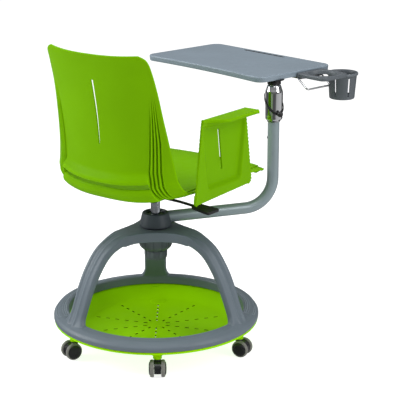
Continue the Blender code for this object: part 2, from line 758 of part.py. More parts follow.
def wheel_mesh():
    """One moulded wheel, its open side at +Z 0.0102 and its domed side at +Z 0.0255."""
    profile = (
        (0, 0.0255), (0.0190, 0.0236), (0.0232, 0.0208), (WHEEL_RADIUS, 0.0180),
        (WHEEL_RADIUS, 0.0112), (0.0240, 0.0102), (0.0034, 0.0102), (0.0034, 0.0190), (0, 0.0190),
    )
    obj = turned("wheel_shape", profile, 20)
    mesh = baked_mesh(obj)
    mesh.materials.append(MATERIALS["tread"])
    return mesh


def housing_mesh():
    """Block between the wheels with the stem boss on it; the swivel axis is local Z."""
    centre = (CASTER_TRAIL, WHEEL_RADIUS)
    outline = arc(centre, 0.0215, -28, 208, 14)
    body = plate("housing_shape", outline, -0.0097, 0.0097)
    body.rotation_euler = (math.pi / 2, 0, 0)
    boss = cylinder("stem_boss", 0.0092, 0.036, 0.0508, 12)
    stem_bore = cylinder("stem_bore", 0.0058, 0.0300, 0.060, 12)
    axle_bore = cylinder("axle_bore", 0.0033, -0.02, 0.02, 12)
    axle_bore.location = (CASTER_TRAIL, 0, WHEEL_RADIUS)
    axle_bore.rotation_euler = (math.pi / 2, 0, 0)
    boolean(body, "UNION", boss)
    boolean(body, "DIFFERENCE", stem_bore, axle_bore)
    body_turn = Matrix.Rotation(math.pi / 2, 4, "X")
    mesh = baked_mesh(body)
    mesh.transform(body_turn)
    mesh.materials.append(MATERIALS["black"])
    for helper in (boss, stem_bore, axle_bore):
        bpy.data.objects.remove(helper, do_unlink=True)
    return mesh


def build_casters(root):
    wheel = wheel_mesh()
    housing = housing_mesh()
    axle = baked_mesh(cylinder("axle_shape", 0.0030, -0.0180, 0.0180, 12))
    axle.materials.append(MATERIALS["steel"])
    stem = baked_mesh(cylinder("stem_shape", 0.0055, 0.0305, 0.0700, 12))
    stem.materials.append(MATERIALS["steel"])
    for index, angle in enumerate(CASTER_ANGLES):
        name = f"caster_{index + 1}"
        swivel = pivot(f"{name}_swivel", polar(CASTER_SWIVEL_RADIUS, angle), root, math.radians(angle))
        axis = pivot(f"{name}_axle_axis", (CASTER_TRAIL, 0, WHEEL_RADIUS), swivel)
        for suffix, mesh, parent, turn in (
            ("stem", stem, swivel, 0.0), ("housing", housing, swivel, 0.0),
            ("axle", axle, axis, math.pi / 2), ("wheel_left", wheel, axis, -math.pi / 2),
            ("wheel_right", wheel, axis, math.pi / 2),
        ):
            piece = bpy.data.objects.new(f"{name}_{suffix}", mesh)
            PARTS.objects.link(piece)
            place(piece, parent, rotation=(turn, 0, 0))


def main():
    root = pivot("column_foot", (*COLUMN, 0.0))
    build_base_frame(root)
    build_tray(root)
    build_column(root)
    build_casters(root)

    hub_pivot = pivot("desk_arm_axis", (0, 0, 0), root)
    post = build_desk_arm(hub_pivot)
    build_release_loop(post)
    build_mast(post)
    tablet_pivot = pivot("tablet_axis", (0, 0, 0), post)
    mast_at = arm_point(ARM_RADIUS, 0)
    tablet_at = Vector((*TABLET_CENTRE, 0)) - mast_at
    tablet = pivot("tablet_middle", tablet_at, tablet_pivot, TABLET_TURN)
    build_tablet(tablet_pivot, tablet)
    build_cup_holder(tablet)
    build_cup_bail(pivot("bail_axis", (*BAIL_AXIS, BAIL_HEIGHT), tablet))
    build_pencil_cup(tablet)

    lift = pivot("lift_axis", (0, 0, 0), root)
    build_gas_rod(lift)
    seat = pivot("seat_axis", (0, 0, 0), lift)
    build_mechanism(seat)
    build_seat(seat)
    build_armrest(seat)
    build_lift_lever(pivot("lift_lever_axis", (-0.0550, 0.0420, 0.4610), seat))

    for obj in PARTS.objects:
        if obj.type == "MESH":
            smooth_round(obj)


main()
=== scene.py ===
"""The looks of the student desk chair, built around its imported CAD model.

Metres, +Z up, in the CAD's own frame. Most pieces are made about the column, whose axis is the
origin of their coordinates, and are then moved to where the column stands. The sitter faces -Y,
so the sitter's right is -X. The CAD's driving dimensions are repeated here where a finer shape
needs them.
"""

import math

import bmesh
import bpy
import numpy as np
from mathutils import Matrix, Vector


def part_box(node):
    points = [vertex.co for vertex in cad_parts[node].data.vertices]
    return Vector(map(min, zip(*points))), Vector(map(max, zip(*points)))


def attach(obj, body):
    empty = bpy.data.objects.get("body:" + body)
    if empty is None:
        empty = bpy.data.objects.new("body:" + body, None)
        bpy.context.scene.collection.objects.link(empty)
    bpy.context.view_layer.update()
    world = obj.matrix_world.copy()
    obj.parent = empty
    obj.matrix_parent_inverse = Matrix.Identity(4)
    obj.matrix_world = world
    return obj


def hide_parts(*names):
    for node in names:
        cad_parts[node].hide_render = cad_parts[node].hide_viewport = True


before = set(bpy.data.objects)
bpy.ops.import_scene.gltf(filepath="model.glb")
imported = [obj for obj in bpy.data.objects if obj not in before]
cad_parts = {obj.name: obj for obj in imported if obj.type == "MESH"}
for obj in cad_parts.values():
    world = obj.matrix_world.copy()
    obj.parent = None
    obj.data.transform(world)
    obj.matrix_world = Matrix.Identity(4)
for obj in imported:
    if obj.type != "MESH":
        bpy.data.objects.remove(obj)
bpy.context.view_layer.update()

SCENE = bpy.context.scene
GAP = 0.0003


def middle(node):
    low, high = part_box(node)
    return (low + high) / 2


def on_floor(point):
    return Vector((point.x, point.y, 0.0))


def polar(radius, degrees, z=0.0):
    angle = math.radians(degrees)
    return Vector((radius * math.cos(angle), radius * math.sin(angle), z))


def placed(point):
    return Matrix.Translation(point)


def turned(degrees, axis="Z"):
    return Matrix.Rotation(math.radians(degrees), 4, axis)


COLUMN = on_floor(middle("gas_rod"))
TABLET_TURN = -10.43
ARM_DEGREES = 237.4
ARM_RADIUS = 0.373
AT_COLUMN = placed(COLUMN)
AT_POST = placed(COLUMN + polar(ARM_RADIUS, ARM_DEGREES))
TABLET_CENTRE = Vector((0.0135, -0.427, 0.0))
AT_TABLET = placed(COLUMN + TABLET_CENTRE) @ turned(TABLET_TURN)


def in_scene(name, data):
    obj = bpy.data.objects.new(name, data)
    SCENE.collection.objects.link(obj)
    return obj


def settle(node, **sockets):
    """Sets a node's input sockets by name, with _ for a space."""
    for name, value in sockets.items():
        node.inputs[name.replace("_", " ")].default_value = value
    return node


def glossy_mix(tree, plain, gloss):
    """Shows one shader to gloss rays and another to every other ray."""
    mix = tree.nodes.new("ShaderNodeMixShader")
    tree.links.new(tree.nodes.new("ShaderNodeLightPath").outputs["Is Glossy Ray"], mix.inputs[0])
    tree.links.new(plain, mix.inputs[1])
    tree.links.new(gloss, mix.inputs[2])
    return mix.outputs["Shader"]


# Camera, light and floor

def add_camera():
    """At the photograph's viewing angle: behind the chair, on the sitter's right."""
    data = bpy.data.cameras.new("Camera")
    data.lens = 121.68
    data.sensor_width = 36.0
    data.clip_end = 600.0
    camera = in_scene("Camera", data)
    camera.location = (-2.3611, 3.1086, 1.5542)
    heading = math.atan2(0.602, -0.799)
    camera.rotation_euler = (math.radians(90 - 16.463), 0.0, -heading)
    SCENE.camera = camera


def add_area_light(name, location, target, size, power):
    data = bpy.data.lights.new(name, "AREA")
    data.shape = "RECTANGLE"
    data.size, data.size_y = size
    data.energy = power
    light = in_scene(name, data)
    light.location = location
    direction = Vector(target) - Vector(location)
    light.rotation_euler = direction.to_track_quat("-Z", "Y").to_euler()


def add_studio():
    """Even white for diffuse light, and a darker room, paler overhead, for what gloss reflects."""
    world = bpy.data.worlds.new("Studio")
    world.use_nodes = True
    tree = world.node_tree
    nodes, links = tree.nodes, tree.links
    diffuse = settle(nodes["Background"], Strength=0.42, Color=(1.0, 1.0, 1.0, 1.0))
    gloss = nodes.new("ShaderNodeBackground")
    height = nodes.new("ShaderNodeSeparateXYZ")
    ramp = settle(nodes.new("ShaderNodeMapRange"), From_Min=0.05, From_Max=0.75, To_Min=0.16, To_Max=0.6)
    links.new(nodes.new("ShaderNodeTexCoord").outputs["Generated"], height.inputs["Vector"])
    links.new(height.outputs["Z"], ramp.inputs["Value"])
    links.new(ramp.outputs["Result"], gloss.inputs["Strength"])
    surface = glossy_mix(tree, diffuse.outputs["Background"], gloss.outputs["Background"])
    links.new(surface, nodes["World Output"].inputs["Surface"])
    SCENE.world = world
    SCENE.view_settings.view_transform = "Standard"
    add_area_light("Key", (2.9, 2.2, 2.2), (0, 0, 0.6), (1.6, 2.2), 122)
    add_area_light("Fill", (-2.8, -0.2, 1.9), (0, 0, 0.6), (1.2, 2.0), 48)
    add_area_light("Top", (-0.3, 0.6, 3.3), (0, 0, 0.4), (2.4, 2.4), 64)


def studio_bands(nodes, links):
    """Light and dark sectors of the floor round the chair, which bare metal shows as bands."""
    position = nodes.new("ShaderNodeNewGeometry").outputs["Position"]
    parts = []
    for direction in ((0.799, 0.602, 0.0), (-0.602, 0.799, 0.0)):
        dot = nodes.new("ShaderNodeVectorMath")
        dot.operation = "DOT_PRODUCT"
        dot.inputs[1].default_value = direction
        links.new(position, dot.inputs[0])
        parts.append(dot.outputs["Value"])
    angle = nodes.new("ShaderNodeMath")
    angle.operation = "ARCTAN2"
    links.new(parts[0], angle.inputs[0])
    links.new(parts[1], angle.inputs[1])
    turn = settle(nodes.new("ShaderNodeMapRange"), From_Min=-math.pi, From_Max=math.pi)
    links.new(angle.outputs["Value"], turn.inputs["Value"])
    bands = nodes.new("ShaderNodeValToRGB")
    stops = ((0.0, 0.05), (0.17, 0.06), (0.21, 0.62), (0.4, 0.46), (0.44, 0.1), (0.53, 0.08),
             (0.56, 0.5), (0.62, 0.36), (0.66, 0.07), (0.84, 0.1), (0.88, 0.6), (0.94, 0.5))
    ramp = bands.color_ramp
    while len(ramp.elements) < len(stops):
        ramp.elements.new(0.5)
    for element, (place, level) in zip(ramp.elements, stops):
        element.position = place
        element.color = (level, level, level, 1.0)
    links.new(turn.outputs["Result"], bands.inputs["Fac"])
    return bands.outputs["Color"]


def add_floor():
    mesh = bpy.data.meshes.new("floor")
    bm = bmesh.new()
    bmesh.ops.create_grid(bm, x_segments=4, y_segments=4, size=200.0)
    bm.to_mesh(mesh)
    bm.free()
    floor = in_scene("floor", mesh)
    material = bpy.data.materials.new("floor_white")
    material.use_nodes = True
    tree = material.node_tree
    shader = settle(tree.nodes["Principled BSDF"], Base_Color=(0.45, 0.45, 0.45, 1.0), Roughness=0.9,
                    Emission_Color=(1.0, 1.0, 1.0, 1.0), Emission_Strength=0.84, Specular_IOR_Level=0.0)
    dim = tree.nodes.new("ShaderNodeEmission")
    tree.links.new(studio_bands(tree.nodes, tree.links), dim.inputs["Strength"])
    surface = glossy_mix(tree, shader.outputs["BSDF"], dim.outputs["Emission"])
    tree.links.new(surface, tree.nodes["Material Output"].inputs["Surface"])
    mesh.materials.append(material)


# Materials

class Shading:
    """A Principled material and the few node patterns that the chair's materials share."""

    def __init__(self, name, metallic=0.0, specular=0.5, coat=0.0):
        self.material = bpy.data.materials.new(name)
        self.material.use_nodes = True
        self.nodes = self.material.node_tree.nodes
        self.links = self.material.node_tree.links
        self.shader = settle(self.nodes["Principled BSDF"], Metallic=metallic, Specular_IOR_Level=specular,
                             Coat_Weight=coat, Coat_Roughness=0.18)
        self.place = self.nodes.new("ShaderNodeTexCoord").outputs["Object"]

    def noise(self, scale, detail=2.0, stretch=None):
        texture = settle(self.nodes.new("ShaderNodeTexNoise"), Scale=scale, Detail=detail)
        source = self.place
        if stretch:
            mapping = settle(self.nodes.new("ShaderNodeMapping"), Scale=stretch)
            self.links.new(source, mapping.inputs["Vector"])
            source = mapping.outputs["Vector"]
        self.links.new(source, texture.inputs["Vector"])
        return texture.outputs["Fac"]

    def range(self, value, low_in, high_in, low, high):
        node = settle(self.nodes.new("ShaderNodeMapRange"),
                      From_Min=low_in, From_Max=high_in, To_Min=low, To_Max=high)
        self.links.new(value, node.inputs["Value"])
        return node.outputs["Result"]

    def mix(self, factor, first, second):
        node = self.nodes.new("ShaderNodeMix")
        node.data_type = "RGBA"
        self.links.new(factor, node.inputs["Factor"])
        for socket, value in (("A", first), ("B", second)):
            socket = next(s for s in node.inputs if s.name == socket and s.type == "RGBA")
            if isinstance(value, tuple):
                socket.default_value = (*value, 1.0)
            else:
                self.links.new(value, socket)
        return next(s for s in node.outputs if s.type == "RGBA")

    def edges(self, low, high):
        """0 on flat ground, 1 on the crests of edges."""
        pointiness = self.nodes.new("ShaderNodeNewGeometry").outputs["Pointiness"]
        return self.range(pointiness, low, high, 0.0, 1.0)

    def bump(self, height, distance, strength, before=None):
        node = settle(self.nodes.new("ShaderNodeBump"), Distance=distance, Strength=strength)
        self.links.new(height, node.inputs["Height"])
        if before:
            self.links.new(before, node.inputs["Normal"])
        return node.outputs["Normal"]

    def set(self, **sockets):
        for name, value in sockets.items():
            self.links.new(value, self.shader.inputs[name.replace("_", " ")])
        return self.material


def shade(colour, factor):
    return tuple(min(1.0, channel * factor) for channel in colour)


def moulded(name, colour, roughness=0.42, grain=750.0, depth=0.00012, coat=0.0, edge_highlight=1.25, specular=0.35):
    """Moulded plastic: fine spark texture, slow drift of colour, and a painted highlight on the crests of
    edges.
    """
    s = Shading(name, specular=specular, coat=coat)
    drift = s.range(s.noise(5.0, 3.0), 0.35, 0.65, 0.0, 1.0)
    body = s.mix(drift, shade(colour, 0.955), shade(colour, 1.04))
    # Painted highlight: the crests of edges are made paler, standing in for light caught on the rims.
    highlit_edges = s.mix(s.edges(0.515, 0.6), body, shade(colour, edge_highlight))
    pits = s.noise(grain, 3.0)
    rough = s.range(s.noise(38.0, 4.0), 0.3, 0.7, roughness - 0.05, roughness + 0.06)
    waves = s.bump(s.noise(16.0, 1.0), 0.0008, 0.12)
    return s.set(Base_Color=highlit_edges, Roughness=rough, Normal=s.bump(pits, depth, 0.55, waves))


def painted(name, colour, roughness=0.36):
    """Powder coat: orange peel under a thin gloss."""
    s = Shading(name, metallic=0.25, specular=0.5, coat=0.12)
    drift = s.range(s.noise(9.0, 2.0), 0.35, 0.65, 0.0, 1.0)
    body = s.mix(drift, shade(colour, 0.96), shade(colour, 1.04))
    rough = s.range(s.noise(60.0, 3.0), 0.3, 0.7, roughness - 0.04, roughness + 0.05)
    peel = s.bump(s.noise(420.0, 2.0), 0.00005, 0.06)
    return s.set(Base_Color=body, Roughness=rough, Normal=peel)


def metal(name, colour, roughness, stretch=(1.0, 1.0, 1.0), scratch=0.1):
    """Bare or plated metal; stretch draws its fine marks out along one axis."""
    s = Shading(name, metallic=1.0)
    marks = s.noise(260.0, 4.0, stretch)
    smudges = s.noise(18.0, 3.0)
    tint = s.mix(s.range(smudges, 0.3, 0.7, 0.0, 1.0), shade(colour, 0.94), colour)
    spread = roughness * 0.45
    rough = s.range(marks, 0.3, 0.7, roughness - spread, roughness + spread)
    return s.set(Base_Color=tint, Roughness=rough, Normal=s.bump(marks, 0.0001, scratch))


def rubber(name, colour):
    s = Shading(name, specular=0.3)
    dust = s.range(s.noise(120.0, 4.0), 0.35, 0.75, 0.0, 1.0)
    body = s.mix(dust, shade(colour, 0.85), shade(colour, 1.15))
    rough = s.range(s.noise(70.0, 3.0), 0.3, 0.7, 0.5, 0.7)
    return s.set(Base_Color=body, Roughness=rough, Normal=s.bump(s.noise(900.0), 0.0001, 0.4))


# The sixth figure (edge_highlight) sets how much paler each material's painted edge highlight is.
GREEN = moulded("seat_green", (0.127, 0.309, 0.0001), 0.4, edge_highlight=1.45, specular=0.02)
# Paler copy of the seat's green: painted light, making up for the shade that falls on the tray under the
# seat.
LIT_TRAY_GREEN = moulded("tray_green", (0.232, 0.535, 0.0001), 0.4, edge_highlight=1.2, specular=0.02)
BASE_GREY = moulded("base_grey", (0.104, 0.131, 0.154), 0.46, grain=620.0, edge_highlight=1.7)
NUT_GREY = moulded("nut_grey", (0.06, 0.076, 0.08), 0.48, edge_highlight=1.5)
HUB_GREY = moulded("hub_grey", (0.04, 0.052, 0.064), 0.48, edge_highlight=1.8)
TOP_GREY = moulded("tablet_grey", (0.163, 0.204, 0.242), 0.42, grain=1100.0, edge_highlight=1.15)
CUP_GREY = moulded("cup_grey", (0.066, 0.076, 0.086), 0.45, edge_highlight=1.6)
BLACK = moulded("black_plastic", (0.01, 0.01, 0.011), 0.42, edge_highlight=2.0)
CASTER_BLACK = moulded("caster_black", (0.01, 0.011, 0.012), 0.3, grain=500.0, coat=0.2, edge_highlight=2.0)
TREAD = rubber("caster_tread", (0.15, 0.15, 0.135))
SILVER = painted("silver_paint", (0.205, 0.253, 0.272))
BLACK_PAINT = painted("black_paint", (0.012, 0.012, 0.013), 0.38)
CHROME = metal("chrome", (0.74, 0.75, 0.77), 0.07, scratch=0.02)
STEEL = metal("bright_steel", (0.45, 0.46, 0.48), 0.26, (1.0, 1.0, 0.04))
PAD_GREY = moulded("pad_grey", (0.15, 0.178, 0.2), 0.5, edge_highlight=1.5)
# Near-black green for the drain slots' walls: painted shade, for the shadow under the tray seen through the
# slots.
PAINTED_SLOT_SHADE = moulded("painted_slot_shade", (0.006, 0.016, 0.001), 0.6, specular=0.02)
ROD = metal("rod_chrome", (0.72, 0.76, 0.82), 0.16, (1.0, 1.0, 0.05), scratch=0.04)


# Mesh tools

def add_mesh(name, vertices, faces):
    mesh = bpy.data.meshes.new(name)
    mesh.from_pydata([tuple(v) for v in vertices], [], faces)
    mesh.validate()
    return in_scene(name, mesh)


def edited(obj, change):
    """Runs a bmesh operation on the object's mesh."""
    bm = bmesh.new()
    bm.from_mesh(obj.data)
    change(bm)
    bm.to_mesh(obj.data)
    bm.free()
    return obj


def faces_out(obj):
    return edited(obj, lambda bm: bmesh.ops.recalc_face_normals(bm, faces=bm.faces))


def weld(obj, distance=1e-6):
    return edited(obj, lambda bm: bmesh.ops.remove_doubles(bm, verts=bm.verts, dist=distance))


def drop_loose(obj):
    """Deletes the points that no face uses."""
    def change(bm):
        loose = [vertex for vertex in bm.verts if not vertex.link_faces]
        bmesh.ops.delete(bm, geom=loose, context="VERTS")
    return edited(obj, change)


def paint(obj, *materials):
    for material in materials:
        obj.data.materials.append(material)
    return obj


def moved(obj, matrix):
    obj.data.transform(matrix)
    return obj


def baked(obj):
    """Applies the object's modifiers."""
    graph = bpy.context.evaluated_depsgraph_get()
    mesh = bpy.data.meshes.new_from_object(obj.evaluated_get(graph))
    obj.modifiers.clear()
    obj.data = mesh
    mesh.name = obj.name
    return obj


def fit(obj, body, slot, material, *nodes, angle=38):
    """Shades and paints a piece, and hands it to its body in place of its CAD nodes."""
    if not obj.data.materials:
        paint(obj, material)
    obj.data.shade_smooth()
    obj.data.set_sharp_from_angle(angle=math.radians(angle))
    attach(obj, body)
    if nodes:
        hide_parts(*nodes)
    return obj


def arc(centre, radius, start, end, steps):
    found = []
    for k in range(steps + 1):
        angle = math.radians(start + (end - start) * k / steps)
        found.append((centre[0] + radius * math.cos(angle), centre[1] + radius * math.sin(angle)))
    return found


def soften(points, radius, closed=True, steps=4):
    """Rounds each corner of a path with a curve that starts radius away from it."""
    points = [Vector(p) for p in points]
    found = []
    last = len(points) - 1
    for k, corner in enumerate(points):
        if not closed and k in (0, last):
            found.append(corner)
            continue
        before, after = points[k - 1], points[(k + 1) % len(points)]
        cut_before = min(radius, (before - corner).length * 0.48)
        cut_after = min(radius, (after - corner).length * 0.48)
        start = corner + (before - corner).normalized() * cut_before
        end = corner + (after - corner).normalized() * cut_after
        for step in range(steps + 1):
            t = step / steps
            found.append(start * (1 - t) ** 2 + corner * 2 * t * (1 - t) + end * t * t)
    return [tuple(p) for p in found]


def bridge(vertex_rings, closed_ring=True):
    """Quads between consecutive rings of vertex numbers; a ring of one number is a pole."""
    faces = []
    for first, second in zip(vertex_rings, vertex_rings[1:]):
        count = max(len(first), len(second))
        for k in range(count if closed_ring else count - 1):
            n = (k + 1) % count
            quad = [first[k % len(first)], first[n % len(first)],
                    second[n % len(second)], second[k % len(second)]]
            faces.append(list(dict.fromkeys(quad)))
    return faces


def lathe(name, profile, steps=96, closed=False, rounding=0.0):
    """A turned shape from (radius, z) points; a point on the axis becomes a pole."""
    if rounding:
        profile = soften(profile, rounding, closed, 3)
    vertices, rings = [], []
    for radius, z in profile:
        if radius < 1e-9:
            rings.append([len(vertices)])
            vertices.append((0.0, 0.0, z))
            continue
        rings.append(list(range(len(vertices), len(vertices) + steps)))
        vertices += [polar(radius, 360.0 * k / steps, z) for k in range(steps)]
    if closed:
        rings.append(rings[0])
    return faces_out(add_mesh(name, vertices, bridge(rings)))


def bore(radius, bottom, top, steps=48):
    """A plain round cutter on the Z axis."""
    return lathe("bore", ((0.0, bottom), (radius, bottom), (radius, top), (0.0, top)), steps)


def loft(name, rings, caps=True):
    """A skin over rings of points, with flat ends."""
    vertices = [point for ring in rings for point in ring]
    size = len(rings[0])
    numbers = [list(range(k * size, (k + 1) * size)) for k in range(len(rings))]
    faces = bridge(numbers)
    if caps:
        faces.append(numbers[0][::-1])
        faces.append(numbers[-1])
    return faces_out(add_mesh(name, vertices, faces))


def anticlockwise(outline):
    area = sum(a[0] * b[1] - b[0] * a[1] for a, b in zip(outline, outline[1:] + outline[:1])) / 2
    return outline[::-1] if area < 0 else outline


def inset(outline, distance):
    """The outline moved inwards; it runs anticlockwise."""
    found = []
    count = len(outline)
    for k in range(count):
        x, y = outline[k]
        before, after = Vector(outline[k - 1]), Vector(outline[(k + 1) % count])
        along = (after - before).normalized()
        found.append((x - along.y * distance, y + along.x * distance))
    return found


def slab(name, outline, bottom, top, radius, steps=4):
    """A flat outline with thickness and rounded edges."""
    rings = []
    for level, centre, start, end in ((bottom, bottom + radius, 270, 360), (top, top - radius, 0, 90)):
        for k in range(steps + 1):
            angle = math.radians(start + (end - start) * k / steps)
            ring = inset(outline, radius * (1 - math.cos(angle)))
            rings.append([(x, y, centre + radius * math.sin(angle)) for x, y in ring])
    return loft(name, rings)


def sweep(name, path, section, up=Vector((0.0, 0.0, 1.0)), closed=False):
    """A section of (side, up) points carried along a path."""
    path = [Vector(p) for p in path]
    count = len(path)
    rings = []
    for k, point in enumerate(path):
        before = path[k - 1] if k or closed else point
        after = path[(k + 1) % count] if k < count - 1 or closed else point
        along = (after - before).normalized()
        side = along.cross(up)
        if side.length < 1e-6:
            side = Vector((1.0, 0.0, 0.0))
        side.normalize()
        over = side.cross(along)
        rings.append([point + side * a + over * b for a, b in section])
    if closed:
        rings.append(rings[0])
        obj = loft(name, rings, caps=False)
        return faces_out(weld(obj))
    return loft(name, rings)


def tube(name, path, radius, sides=24):
    """A round bar along a path, with frames that don't twist."""
    path = [Vector(p) for p in path]
    along = (path[1] - path[0]).normalized()
    side = along.orthogonal().normalized()
    rings = []
    for k, point in enumerate(path):
        before, after = path[max(k - 1, 0)], path[min(k + 1, len(path) - 1)]
        along = (after - before).normalized()
        side = (side - along * side.dot(along)).normalized()
        over = along.cross(side)
        ring = []
        for n in range(sides):
            angle = 2 * math.pi * n / sides
            ring.append(point + (side * math.cos(angle) + over * math.sin(angle)) * radius)
        rings.append(ring)
    return loft(name, rings)


def bent(points, radius, steps=8):
    """A path of straight runs joined by curved bends."""
    return [Vector(p) for p in soften(points, radius, closed=False, steps=steps)]


def joined(name, pieces):
    """One object that holds the meshes of several."""
    bm = bmesh.new()
    for piece in pieces:
        bm.from_mesh(piece.data)
        bpy.data.objects.remove(piece)
    mesh = bpy.data.meshes.new(name)
    bm.to_mesh(mesh)
    bm.free()
    return in_scene(name, mesh)


def fused(name, pieces, voxel, smoothing):
    """Overlapping pieces melted into one skin with soft inner corners."""
    obj = joined(name, pieces)
    remesh = obj.modifiers.new("Melt", "REMESH")
    remesh.mode = "VOXEL"
    remesh.voxel_size = voxel
    smooth = obj.modifiers.new("Soften", "SMOOTH")
    smooth.factor = 0.5
    smooth.iterations = smoothing
    return baked(obj)


def cut(obj, cutter):
    """Takes the cutter out of the piece, and lets the cut faces keep the cutter's material."""
    boolean = obj.modifiers.new("Cut", "BOOLEAN")
    boolean.operation = "DIFFERENCE"
    boolean.solver = "EXACT"
    if cutter.data.materials:
        boolean.material_mode = "TRANSFER"
    boolean.object = cutter
    baked(obj)
    bpy.data.objects.remove(cutter)
    return obj


def round_outline(half_x, half_y, corner, steps=8, middle=(0.0, 0.0)):
    """A rectangle with round corners."""
    points = []
    for sign_x, sign_y, start in ((1, 1, 0), (-1, 1, 90), (-1, -1, 180), (1, -1, 270)):
        centre = (middle[0] + sign_x * (half_x - corner), middle[1] + sign_y * (half_y - corner))
        points += arc(centre, corner, start, start + 90, steps)
    return points


def smoothstep(value):
    value = np.clip(value, 0.0, 1.0)
    return value * value * (3 - 2 * value)


def catmull_rom(rows, t):
    """Smooth values between rows of numbers; t is an array that counts rows."""
    rows = np.asarray(rows, float)
    last = len(rows) - 1
    index = np.clip(t.astype(int), 0, last - 1)
    f = (t - index)[:, None]
    a, b, c, d = (rows[np.clip(index + k, 0, last)] for k in (-1, 0, 1, 2))
    return 0.5 * (2 * b + (c - a) * f + (2 * a - 5 * b + 4 * c - d) * f ** 2
                  + (3 * b - a - 3 * c + d) * f ** 3)


# The base: crown, legs and foot ring in one moulding

LEG_DEGREES = (69.3, 189.3, 309.3)
CROWN_OUTER = ((0.03, 0.3537), (0.06, 0.3537), (0.095, 0.3532), (0.125, 0.349), (0.152, 0.3405),
               (0.178, 0.324), (0.2, 0.3015), (0.22, 0.271), (0.238, 0.237), (0.253, 0.2),
               (0.266, 0.164), (0.277, 0.134), (0.287, 0.111), (0.297, 0.096))
CROWN_INNER = ((0.03, 0.3255), (0.06, 0.3255), (0.088, 0.325), (0.112, 0.322), (0.134, 0.3155),
               (0.156, 0.3035), (0.176, 0.285), (0.194, 0.259), (0.211, 0.228), (0.226, 0.194),
               (0.239, 0.161), (0.25, 0.132), (0.26, 0.11), (0.268, 0.09))
LEG_HALF = 0.034
FASCIA_RADIUS = 0.07  # of the crown between two legs
CROWN_ARM = 0.123  # where the crown's curved side meets a leg's side


def flare(height, floor, radius):
    """How far a leg's side has spread at this height, to meet the floor in a quarter circle."""
    rise = np.clip(height - floor, 0.0, radius)
    return radius - np.sqrt(radius ** 2 - (radius - rise) ** 2)


def leg_section(outer, inner, half, relief):
    """One leg's section: two low ridges on its outer face with a channel between them."""
    depth = (inner - outer).length
    into = (inner - outer) / depth
    right = (
        (0.0, 0.004 * relief), (0.0085, 0.004 * relief), (0.0112, 0.0012 * relief), (0.014, 0.0),
        (0.0168, 0.0006 * relief), (0.0196, 0.0034 * relief), (half - 0.0065, 0.0062 * relief),
        (half - 0.002, 0.0074 * relief + 0.0002), (half, 0.011 * relief + 0.002),
        (half - 0.001, depth - 0.0055), (half - 0.003, depth - 0.0015), (half - 0.0065, depth),
    )
    left = tuple((-side, deep) for side, deep in right[:0:-1])
    return [(outer.x + into.x * deep, side, outer.y + into.y * deep) for side, deep in right + left]


def make_leg(degrees):
    """A leg in its own plane, its foot spread sideways and wrapped round the ring."""
    t = np.linspace(0, len(CROWN_OUTER) - 1, 92)
    outer = catmull_rom(CROWN_OUTER, t)
    inner = catmull_rom(CROWN_INNER, t)
    rings = []
    for a, b in zip(outer, inner):
        half = LEG_HALF + float(flare(a[1], 0.093, 0.044))
        wrap = float(smoothstep((0.2 - a[1]) / 0.09))
        relief = float(smoothstep((a[0] - 0.112) / 0.055))
        ring = []
        for x, y, z in leg_section(Vector(a), Vector(b), half, relief):
            curved = math.sqrt(max(x * x - y * y, 0.0))
            ring.append((x + (curved - x) * wrap, y, z))
        rings.append(ring)
    return moved(loft(f"leg_{degrees:.0f}", rings), turned(degrees))


def crown_reach(off_leg):
    """The crown's outline: its distance from the column, this many radians off a leg's line."""
    edge = CROWN_ARM / math.cos(off_leg)
    if edge * math.sin(off_leg) < LEG_HALF:
        return edge
    sin_60 = math.sin(math.radians(60))
    centre = (FASCIA_RADIUS - LEG_HALF) / (1 - sin_60)
    radius = centre * sin_60 - LEG_HALF
    off_middle = math.radians(60) - off_leg
    root = max(radius ** 2 - (centre * math.sin(off_middle)) ** 2, 0.0)
    return centre * math.cos(off_middle) - math.sqrt(root)


def make_crown():
    """The crown: a three-cornered plate whose top and underside follow the legs' faces."""
    steps = 180
    shares = (0.0, 0.25, 0.5, 0.7, 0.85, 1.0)
    rings = []
    for rows, order in ((CROWN_OUTER, shares), (CROWN_INNER, shares[::-1])):
        rows = np.array(rows)
        for share in order:
            ring = []
            for k in range(steps):
                degrees = 360 * k / steps
                off_leg = min(abs((degrees - leg + 180) % 360 - 180) for leg in LEG_DEGREES)
                reach = crown_reach(math.radians(off_leg)) * max(share, 0.02)
                ring.append(polar(reach, degrees, float(np.interp(reach, rows[:, 0], rows[:, 1]))))
            rings.append(ring)
    return loft("crown", rings)


def make_base():
    ring = lathe("foot_ring", (
        (0.26, 0.079), (0.26, 0.102), (0.261, 0.106), (0.264, 0.1072), (0.286, 0.105),
        (0.299, 0.0985), (0.305, 0.0915), (0.3055, 0.089), (0.3052, 0.079),
    ), 160, closed=True)
    skirt = lathe("crown_skirt", ((0.0, 0.325), (0.052, 0.325), (0.054, 0.332), (0.0, 0.332)), 64)
    parts = [make_leg(degrees) for degrees in LEG_DEGREES] + [make_crown(), ring, skirt]
    base = fused("base_moulding", parts, 0.0019, 3)
    cut(base, bore(0.0251, 0.3, 0.38))
    fit(moved(base, AT_COLUMN), "base", "base_grey", BASE_GREY, "base_frame", angle=60)


